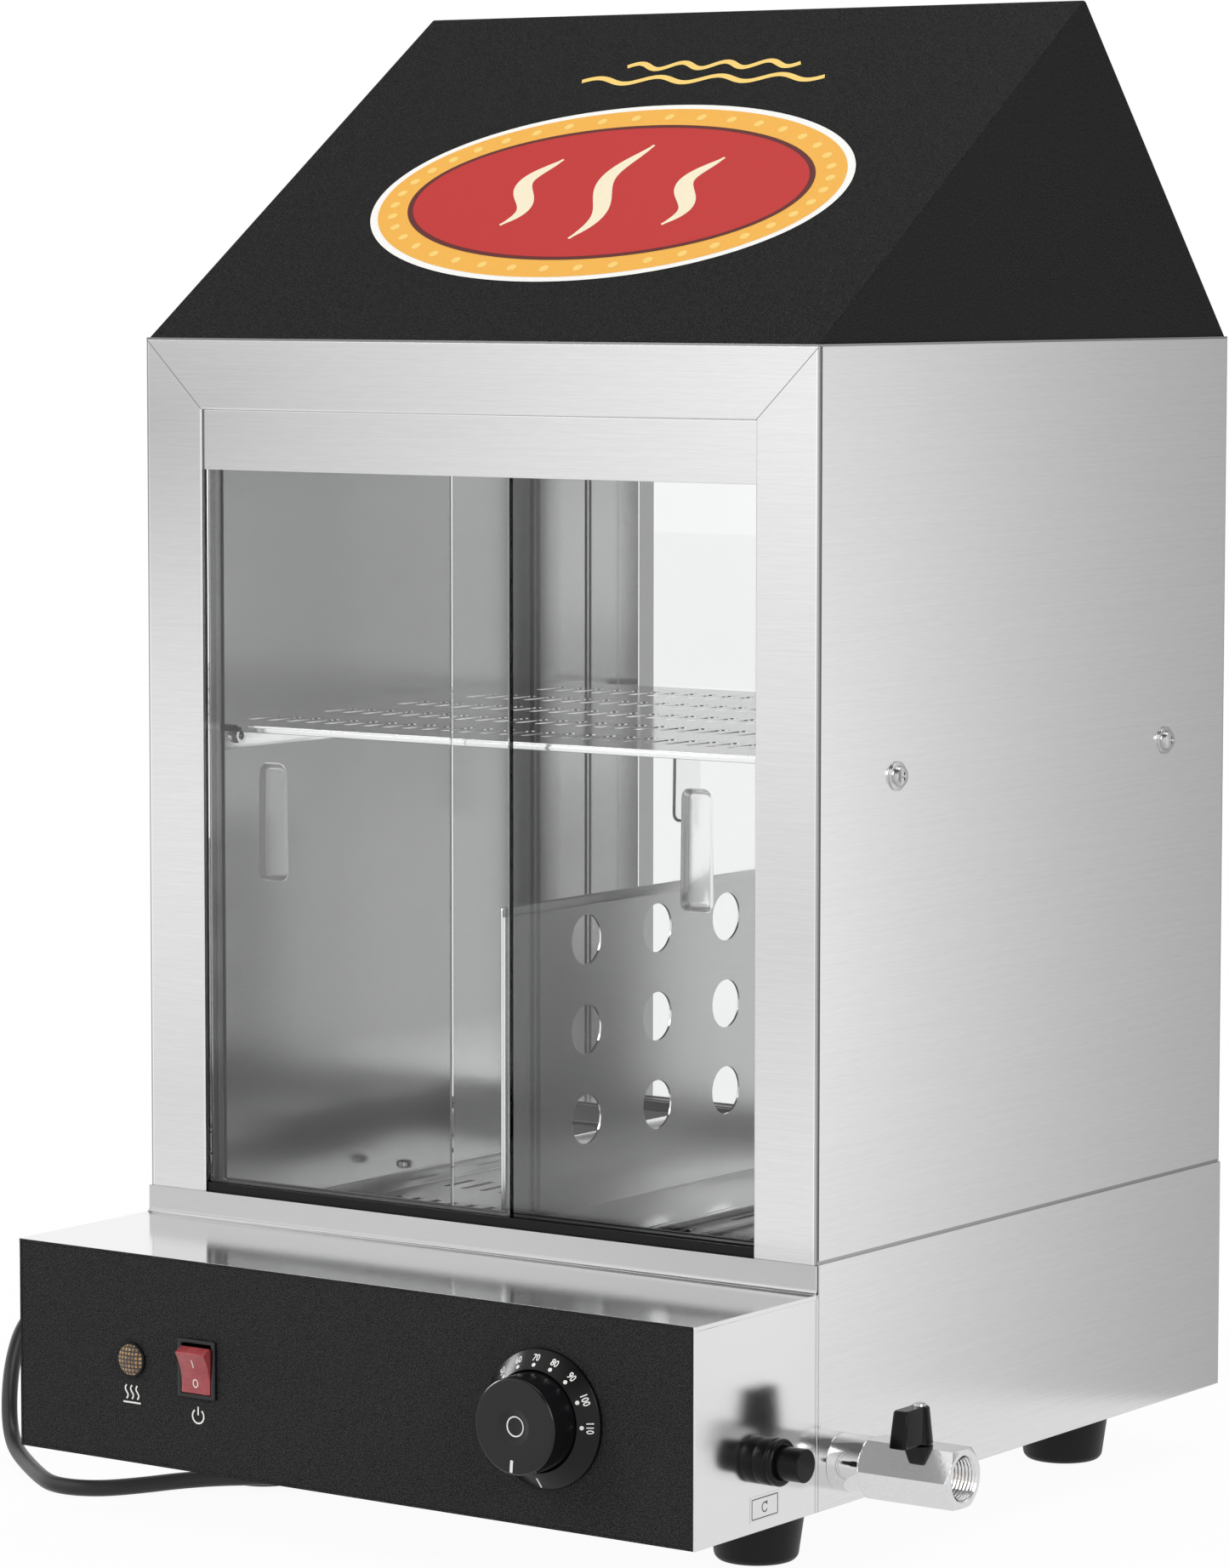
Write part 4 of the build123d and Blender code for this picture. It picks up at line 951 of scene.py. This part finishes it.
def make_panel_marks():
    """Plain signs beside the lamp and the switch: heat waves and the power sign."""
    lines = [[(lamp[0] + k * 3.2 + 0.8 * math.sin(2 * math.pi * t), 29.6 + 6.4 * t)
              for t in steps(24)] for k in (-1, 0, 1)]
    lines.append([(lamp[0] + x, 28.0) for x in (-5.2, 0, 5.2)])
    centre = (switch[0], 26.2)
    lines.append(bow(centre, 3.3, 3.3, 38, 322, 40))
    lines.append([(centre[0], centre[1] + z) for z in steps(4, 0.4, 4.4)])
    add_piece("panel_marks", [ribbon(line, 0.8, on_panel) for line in lines], "ink_white")


def make_reset():
    collar = [(0, 8.0), (0, 10.5), (6.0, 10.5), (6.3, 9.9), (6.9, 9.9), (7.2, 10.5),
              (9.2, 10.5), (10.0, 9.8), (10.0, 7.6), (0.4, 7.6)]
    add_piece("reset_guide", lathe((base_half, *reset), RIGHT, collar, 96, 0.25, 2),
              "control_black", ["reset_collar"])
    button = [(0, 0), (0, 7.45), (18.3, 7.45), (18.6, 7.0), (18.6, 0)]
    add_piece("reset_push_cap", lathe((base_half + 3.0, *reset), RIGHT, button, 96, 0.5),
              "control_black", ["reset_button"], "reset")


def make_reset_plate():
    """Small framed plate under the button, with a plain turning arrow."""
    low, high = (-52.4, 4.4), (-29.4, 16.0)

    def on_wall(y, z, lift=0.1):
        return at(base_half + lift, y, z)

    backing = flat_shape(rectangle(low, high), lambda y, z: on_wall(y, z, 0.06))
    add_piece("reset_plate", backing, "steel_front")
    border = softened(rectangle((low[0] + 1.5, low[1] + 1.4), (high[0] - 1.5, high[1] - 1.4)),
                      0.4, 3, True)
    centre = ((low[0] + high[0]) / 2, (low[1] + high[1]) / 2)
    turn = bow(centre, 2.1, 2.1, 40, -240, 30)
    (tip_y, tip_z), arrow = turn[0], [(-1.1, 0.3), (0.7, 1.0), (0.5, -0.9)]
    marks = [ribbon(border + border[:1], 0.5, on_wall), ribbon(turn, 0.6, on_wall),
             flat_shape([(tip_y + y, tip_z + z) for y, z in arrow], on_wall)]
    add_piece("reset_plate_marks", marks, "ink_grey")


# ---- drain valve

def make_drain():
    nipple = [(0, 7.5), (0, 10.5), (80.0, 10.5), (80.0, 13.0), (96.3, 13.0), (96.5, 12.4),
              (96.5, 7.5)]
    add_piece("drain_pipe", lathe((111.0, *drain), RIGHT, nipple, 96, 0.4, 3), "chrome",
              ["drain_nipple"])
    make_valve_body()
    make_port_thread()
    ball = lathe((ball_x, *drain), FRONT, ball_profile(), 64)
    add_piece("valve_ball_seen", ball, "brass", ["valve_ball"], "drain_handle")
    make_lever()


def ball_profile():
    """Bored ball, from the bore's wall round the outside and back."""
    radius = 9.0
    end = math.sqrt(radius ** 2 - drain_bore ** 2)
    start = math.asin(end / radius)
    outside = [(radius * math.sin(t), radius * math.cos(t)) for t in steps(24, -start, start)]
    return [(end, drain_bore), (-end, drain_bore)] + outside + [(end, drain_bore)]


def drain_ring(x, radius_at, count):
    """Ring of points round the drain's line, each as far out as radius_at gives its turn."""
    return [at(x, drain[0] + radius_at(t) * math.cos(t), drain[1] + radius_at(t) * math.sin(t))
            for t in steps(count, 0, 2 * math.pi)[:-1]]


def make_valve_body():
    """Hexagon body with turned chamfers at both ends, its port and its bore."""
    start, end, flats, chamfer, count = 207.5, 255.0, 13.0, 1.4, 144
    port, port_mouth, port_depth, seat = 9.85, 10.7, 13.0, 6.5
    sixth = math.radians(60)
    least, most = flats - 0.2, flats / math.cos(sixth / 2) + 0.3
    rings = [drain_ring(start, lambda t: drain_bore, count)]
    for x, inwards, shares in ((start, chamfer, steps(12)), (end, -chamfer, steps(12, 1, 0))):
        for share in shares:
            turned = least + (most - least) * share
            rings.append(drain_ring(x + inwards * share, lambda t: min(
                flats / math.cos(t % sixth - sixth / 2), turned), count))
    for x, radius in ((end, port_mouth), (end - 0.8, port), (end - port_depth, port),
                      (end - port_depth, drain_bore), (ball_x + seat, drain_bore)):
        rings.append(drain_ring(x, lambda t: radius, count))
    add_piece("valve_hexagon", skin(rings), "chrome", ["valve_body"], smooth=25)


def make_port_thread():
    """Internal thread of the drain port, as one helical surface."""
    pitch, length, crest, root, lead_in, mouth = 1.81, 12.4, 9.0, 9.75, 1.2, 254.4

    def radius_at(turn):
        wave = 1 - abs(2 * ((depth / pitch + turn / (2 * math.pi)) % 1.0) - 1)
        return root - (root - crest) * min(1.0, wave * 1.25) * min(1.0, depth / lead_in)

    rings = []
    for depth in steps(90, 0, length):
        rings.append(drain_ring(mouth - depth, radius_at, 96))
    add_piece("port_thread", skin(rings), "chrome", smooth=80)


def make_lever():
    """Black wing lever with a tapered hub."""
    bottom, top = 33.0, 49.5
    tall = top - bottom
    profile = [(0, 0), (0, 6.2), (tall - 0.6, 4.5), (tall, 3.8), (tall, 3.1),
               (tall - 1.2, 2.9), (tall - 1.2, 0)]
    hub = lathe((ball_x, drain[0], bottom), UP, profile, 64, 0.5, 3)
    far_low, far_high = 2.2, 4.6
    rows = []
    for z, far, half in ((bottom, far_low, 4.0), (bottom + 0.6, far_low + 0.05, 4.4),
                         (top - 0.8, far_high - 0.1, 3.7), (top, far_high + 0.4, 3.2)):
        low, high = ball_x - half, ball_x + half
        section = softened([(low, drain[0]), (low, far), (high, far), (high, drain[0])], 1.2)
        rows.append([at(*p, z) for p in section])
    add_piece("lever_wing", [hub, skin(rows, (0, -1))], "control_black",
              ["valve_lever"], "drain_handle")


# ---- feet

def make_feet():
    height, wide, narrow, recess = -FLOOR, 23.1, 18.8, 8.0
    profile = [(0, 0), (0, wide), (1.0, wide), (height - 2.0, narrow + 0.3),
               (height, narrow - 1.6), (height, 7.0), (recess, 6.0), (recess, 0)]
    for end, y in foot_rows.items():
        for side, name in ((-1, f"{end}_left"), (1, f"{end}_right")):
            foot = lathe((side * foot_offset, y, 0), DOWN, profile, 96, 2.2, 5)
            add_piece(f"rubber_{name}", foot, "rubber", [f"foot_{name}"])


# ---- canopy print

def on_slope(x, up, lift=0.12):
    """A point on the canopy's front slope, up is measured along the slope from its foot."""
    low = Vector((canopy_front, cabinet_top))
    rise = (Vector(ridge) - low).normalized()
    point = low + rise * up + Vector((-rise.y, rise.x)) * lift
    return at(x, *point)


def make_print():
    """A plain oval sign with steam wisps, in the warm colours of a snack stand."""
    centre = (8.0, 118.0)
    lift = 0.1
    for name, half_x, half_y, ink in (("sign_edge", 132, 72, "ink_white"),
                                      ("sign_gold", 128, 68.5, "ink_gold"),
                                      ("sign_band", 112, 55, "ink_maroon"),
                                      ("sign_field", 109, 52.5, "ink_red")):
        shape = flat_shape(ellipse(centre, half_x, half_y, 128),
                           lambda x, up: on_slope(x, up, lift))
        add_piece(name, shape, ink)
        lift += 0.05
    dots = [flat_shape(circle(place, 2.4, 20), lambda x, up: on_slope(x, up, 0.2))
            for place in ellipse(centre, 120, 61.7, 40)]
    add_piece("sign_dots", dots, "ink_yellow")

    def swell(t):
        return 9.5 * math.sin(math.pi * min(max(t, 0.03), 0.97)) ** 0.7

    wisps = [ribbon([(centre[0] + dx + 6.0 * math.sin(2 * math.pi * 1.15 * t),
                      centre[1] - tall + 2 * tall * t) for t in steps(40)], swell,
                    lambda x, up: on_slope(x, up, 0.3))
             for dx, tall in ((-46, 27), (0, 38), (46, 27))]
    add_piece("sign_wisps", wisps, "ink_cream")
    waves = [ribbon([(centre[0] + half * (2 * t - 1), up + 2.6 * math.sin(8 * math.pi * t))
                     for t in steps(96)], 3.4, on_slope)
             for up, half in ((212, 70), (224, 50))]
    add_piece("sign_waves", waves, "ink_yellow")


# ---- fine lines on the front frame

def make_frame_lines():
    """The mitred joints of the header, and the dark seals beside the panes."""
    lines, seals = [], []
    for side in (-1, 1):
        corner = Vector((side * cabinet_half, cabinet_top - 1))
        inner = Vector((side * opening_half["front"], opening_top))
        lines.append(ribbon([corner.lerp(inner, t) for t in steps(8)], 0.28,
                            lambda x, z: at(x, -0.04, z)))
        low, high = span(side, opening_half["front"], opening_half["front"] - 0.5)
        seals.append(block((low, 15.2, 114.6), (high, 17.3, 463.0), 0.1))
    add_piece("mitre_lines", lines, "ink_grey")
    add_piece("jamb_seals", seals, "track_black")


# ---- mains cord

cord_floor = FLOOR + cord_radius + 0.1
coil_centre = (-143.0, 464.0)
coil_radius = 45.0
plug_radius = 18.5

# from the gland round the loop, down to the floor and under the base to the back
cord_route = [(-base_half - gland_length, *gland), (-261.0, *gland),
              (-294.0, 116.0, 47.0), (-311.0, 86.0, 39.0), (-313.0, 60.0, 30.0),
              (-308.0, 39.0, 22.0), (-295.0, 17.0, 10.0), (-285.0, 3.0, -4.0),
              (-277.5, -5.0, -17.5), (-266.0, -14.0, -25.0)]
cord_route += [(x, y, cord_floor) for x, y in (
    (-246.0, -28.0), (-220.0, -47.5), (-207.0, -55.0), (-196.0, -56.0), (-185.6, -52.6),
    (-177.3, -45.4), (-168.8, -30.7))]
cord_route += [(-160.0, -16.5, cord_floor + 0.6), (-142.0, -6.0, -25.0), (-122.0, 6.0, -24.4),
               (-106.0, 27.0, -25.0)]
cord_route += [(x, y, cord_floor) for x, y in (
    (-99.0, 62.0), (-96.0, 120.0), (-98.5, 190.0), (-95.0, 262.0), (-97.5, 335.0),
    (-94.0, 400.0))]
tail_route = [(x, y, FLOOR + up) for x, y, up in (
    (-126.0, 418.5, 14.0), (-107.0, 420.0, 16.0), (-87.0, 424.0, 16.5), (-67.0, 428.0, 17.5),
    (-47.0, 431.0, plug_radius), (-29.0, 433.0, plug_radius), (-11.0, 434.5, plug_radius))]


def coil_points(turns=2.75, per_turn=16):
    """The coiled length: turns lie beside and on each other, from the right round to the front."""
    # each turn's own place in the pile: how far out and how high it lies
    places = [Vector(place) for place in ((3.9, 3.9), (-3.9, 3.9), (0.0, 10.9))]
    # a quadratic spline runs inside its control polygon by this share
    inside = (3 + math.cos(2 * math.pi / per_turn)) / 4
    points = []
    for turn in steps(round(turns * per_turn), 0, turns):
        low = min(int(turn), 2)
        climb = max(0.0, min(1.0, (turn - low - 0.75) / 0.25))
        out, up = places[low].lerp(places[min(low + 1, 2)], climb)
        angle = 2 * math.pi * turn
        reach = (coil_radius + out) / inside
        points.append((coil_centre[0] + reach * math.cos(angle),
                       coil_centre[1] + reach * math.sin(angle), FLOOR + up + 0.1))
    return points


def make_cord():
    """The whole lead as one smooth line: loop, run under the base, coil and plug end."""
    route = cord_route + coil_points() + tail_route
    curve = bpy.data.curves.new("lead", "CURVE")
    curve.dimensions = "3D"
    curve.bevel_depth = cord_radius * MM
    curve.bevel_resolution = 8
    curve.resolution_u = 10
    curve.use_fill_caps = True
    spline = curve.splines.new("NURBS")
    spline.points.add(len(route) - 1)
    for point, place in zip(spline.points, route):
        point.co = (*at(*place), 1.0)
    spline.order_u = 3
    spline.use_endpoint_u = True
    wear(curve, "cord_black")
    lead = placed("lead", curve)
    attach(lead, "cabinet")
    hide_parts("mains_cord", "cord_coil")
    make_gland()
    make_plug()


def make_gland():
    """Screwed gland and the ribbed strain relief."""
    nut, ribs = 5.2, 6
    profile = [(-1.0, 7.0), (0, 7.0), (0, 10.4), (3.6, 10.4), (4.0, 9.9), (5.0, 9.3), (nut, 7.4)]
    pitch = (gland_length - nut) / ribs
    for k in range(ribs):
        low, high = nut + pitch * k, nut + pitch * (k + 0.6)
        wide = 7.2 - 2.4 * (k + 0.5) / ribs
        profile += [(low + 0.3, wide), (high, wide - 0.15), (high + 0.2, wide - 1.1),
                    (high + 1.2, wide - 1.2)]
    profile += [(gland_length - 0.2, 4.8), (gland_length, 4.3), (gland_length, 3.2)]
    return add_piece("gland_sleeve", lathe((-base_half, *gland), LEFT, profile, 64),
                     "cord_black", ["cord_gland"])


def make_plug():
    """Round two-pin plug with a grip and a tapered sleeve."""
    end = Vector(tail_route[-1])
    sleeve, length, wide, grip = 16.0, 42.0, plug_radius - 0.1, plug_radius - 1.2
    profile = [(0, 3.2), (0, 5.1), (sleeve, 8.4), (sleeve + 4, 14.8), (sleeve + 12, wide),
               (sleeve + 22, wide), (sleeve + 23, grip), (sleeve + 30, grip),
               (sleeve + 31, wide), (sleeve + length - 0.1, wide), (sleeve + length - 0.1, 0)]
    body = lathe(end, end - Vector(tail_route[-2]), profile, 96, 1.5)
    return add_piece("plug_body", body, "cord_black", ["mains_plug"])


# ---- floor, light and camera

def shown_white(m, kind, surface, mirrored, share=1.0):
    """Mix of a surface with plain white, shown only to camera, mirror and glass rays.

    mirrored is the brightness that mirrors see instead of the full white.
    """
    rays = m.put("LightPath").outputs
    either = m.math("MAXIMUM", m.math("MAXIMUM", rays["Is Camera Ray"], rays["Is Glossy Ray"]),
                    rays["Is Transmission Ray"])
    white = m.value(kind, Color=grey(1.0),
                    Strength=m.blended(1.0, mirrored, rays["Is Glossy Ray"]))
    return m.value("MixShader", _0=m.math("MULTIPLY", either, share), _1=surface, _2=white)


def make_floor():
    reach, fade_radius = 8.0, 1.4
    mesh = bpy.data.meshes.new("floor")
    mesh.from_pydata([(*p, 0) for p in rectangle((-reach, -reach), (reach, reach))], [],
                     [(0, 1, 2, 3)])
    floor = placed("floor", mesh)
    m = recipe("floor_white")
    diffuse = m.value("BsdfDiffuse", Color=grey(0.86))
    round_object = m.value("Mapping", Vector=m.coords["Object"],
                           Scale=(1 / fade_radius, 1 / fade_radius, 1))
    nearness = m.put("TexGradient", gradient_type="SPHERICAL", Vector=round_object).outputs["Fac"]
    # the floor's own shade shows near the object and fades out to plain white
    share = m.level(nearness, 1.0, 0.93)
    #     close to the object, chrome mirrors a darker floor: painted shade on the floor, seen only
    #     in reflections
    mirrored = m.level(nearness, 0.95, 0.84, 0.42, 0.7)
    m.show(shown_white(m, "Emission", diffuse, mirrored, share))
    wear(mesh, "floor_white")


def make_world():
    """Plain white world, in which mirrors see a darker ceiling."""
    world = bpy.data.worlds.new("studio")
    bpy.context.scene.world = world
    m = Nodes(world)
    background = m.tree.nodes["Background"]
    m.feed(background, "Color", grey(1.0))
    m.feed(background, "Strength", 0.55)
    way = m.put("SeparateXYZ", Vector=m.coords["Generated"]).outputs
    mirrored = m.level(way["Z"], 1.0, 0.15, 0.3, 0.75)
    surface = shown_white(m, "Background", background.outputs[0], mirrored)
    m.feed(m.tree.nodes["World Output"], "Surface", surface)


def glow_card(name, centre, facing, size, base, spots=(), seen_by=()):
    """Upright panel that only mirrors see, so that sheet metal shows a soft gradient.

    Where seen_by names pieces, only those mirror it and all others see through it.

    spots are (across, up, half width, half height, change of brightness), in metres from
    the panel's middle.
    """
    away = Vector((*facing, 0)).normalized()
    side = Vector((-away.y, away.x, 0))
    corners = [centre + side * a * size[0] / 2 + Vector((0, 0, b * size[1] / 2))
               for a, b in rectangle((-1, -1), (1, 1))]
    mesh = bpy.data.meshes.new(name)
    mesh.from_pydata(corners, [], [(0, 1, 2, 3)])
    card = placed(name, mesh)
    m = recipe(name)
    glow = base
    for across, up, half_width, half_height, change in spots:
        place = m.value("Mapping", vector_type="TEXTURE", Vector=m.coords["Object"],
                        Location=centre + side * across + Vector((0, 0, up)),
                        Rotation=(0, 0, math.atan2(side.y, side.x)),
                        Scale=(half_width, 1, half_height))
        spot = m.put("TexGradient", gradient_type="QUADRATIC_SPHERE", Vector=place)
        glow = m.math("MULTIPLY_ADD", spot.outputs["Fac"], change, glow)
    surface = m.value("Emission", Strength=glow)
    if seen_by:
        surface = m.value("AddShader", _0=surface, _1=m.value("BsdfTransparent"))
        mirrors = bpy.data.collections.new(f"{name}_mirrors")
        for piece in seen_by:
            mirrors.objects.link(bpy.data.objects[piece])
        card.light_linking.receiver_collection = mirrors
    m.show(surface)
    wear(mesh, name)
    for sort in ("camera", "diffuse", "transmission", "volume_scatter", "shadow"):
        setattr(card, f"visible_{sort}", False)


def make_cards():
    """Gradients for the front and the right side, and a dark strip for the round chrome parts."""
    glow_card("front_card", at(-358, -478, 520), (-0.60, -0.80), (1.5, 1.1), 0.93,
              [(-0.20, -0.05, 0.42, 0.24, -0.44), (0.20, -0.04, 0.25, 0.20, 0.14),
               (0.18, -0.35, 0.26, 0.24, -0.20), (-0.17, -0.45, 0.26, 0.18, -0.16)])
    glow_card("side_card", at(325, 402, 470), (0.517, 0.856), (1.5, 1.0), 0.40,
              [(-0.15, -0.25, 0.38, 1.6, 0.67)])
    glow_card("small_card", at(-455, -60, 270), (-0.949, 0.129), (0.22, 0.22), 12.0,
              seen_by=["scale_ring", "knob_body"])
    glow_card("dark_strip", at(-960, -1300, 1320), (-0.59, -0.80), (3.0, 0.8), 0.03)


def make_light(name, place, target_height, size, power):
    """Square area light, turned towards the cabinet's middle line."""
    data = bpy.data.lights.new(name, "AREA")
    data.shape = "RECTANGLE"
    data.size = data.size_y = size
    data.energy = power
    light = placed(name, data)
    light.location = place
    direction = Vector((0, 0, target_height)) - Vector(place)
    light.rotation_euler = direction.to_track_quat("-Z", "Y").to_euler()


def make_camera():
    """The photograph's viewpoint: a long lens from the right, a little above."""
    image_height, focal_pixels, sensor = 1843, 6659.2, 36.0
    azimuth, elevation, roll = 35.401, 5.219, 0.049
    data = bpy.data.cameras.new("camera")
    data.sensor_width = sensor
    data.lens = focal_pixels / image_height * sensor
    camera = placed("camera", data)
    matrix = Matrix.Translation(at(1544.6, -2059.0, 548.1))
    for degrees, axis in ((azimuth, "Z"), (90 - elevation, "X"), (roll, "Z")):
        matrix @= Matrix.Rotation(math.radians(degrees), 4, axis)
    camera.matrix_world = matrix
    bpy.context.scene.camera = camera


# ---- assembly

slotted_sheet("shelf_sheet", "mid_shelf", 189.0, 21.0, 339.0, 331.6, 30, 11.6,
              end_hem=(-3.3, -0.9, 0.3), side_hem=(-16.0, -0.9, 0.2))
slotted_sheet("tray_sheet", "steam_tray", 109.0, 27.5, 332.5, 104.4, 18, 11.2,
              end_hem=(-0.9, 8.0, 0.3), side_hem=(-0.9, 8.0, 0.3))
make_divider()
make_panes()
make_screws()
make_lamp()
make_switch()
make_rocker()
make_dial()
make_panel_marks()
make_panel_rim()
make_reset()
make_reset_plate()
make_drain()
make_feet()
make_print()
make_frame_lines()
make_cord()

make_floor()
make_world()
make_cards()
make_light("key", (-2.2, -2.6, 2.6), 0.35, 1.8, 60)
make_light("fill", (2.8, -1.2, 1.6), 0.35, 1.6, 26)
make_light("top", (0.2, 0.6, 3.0), 0.4, 2.0, 30)
make_camera()

bpy.context.scene.view_settings.view_transform = "Standard"
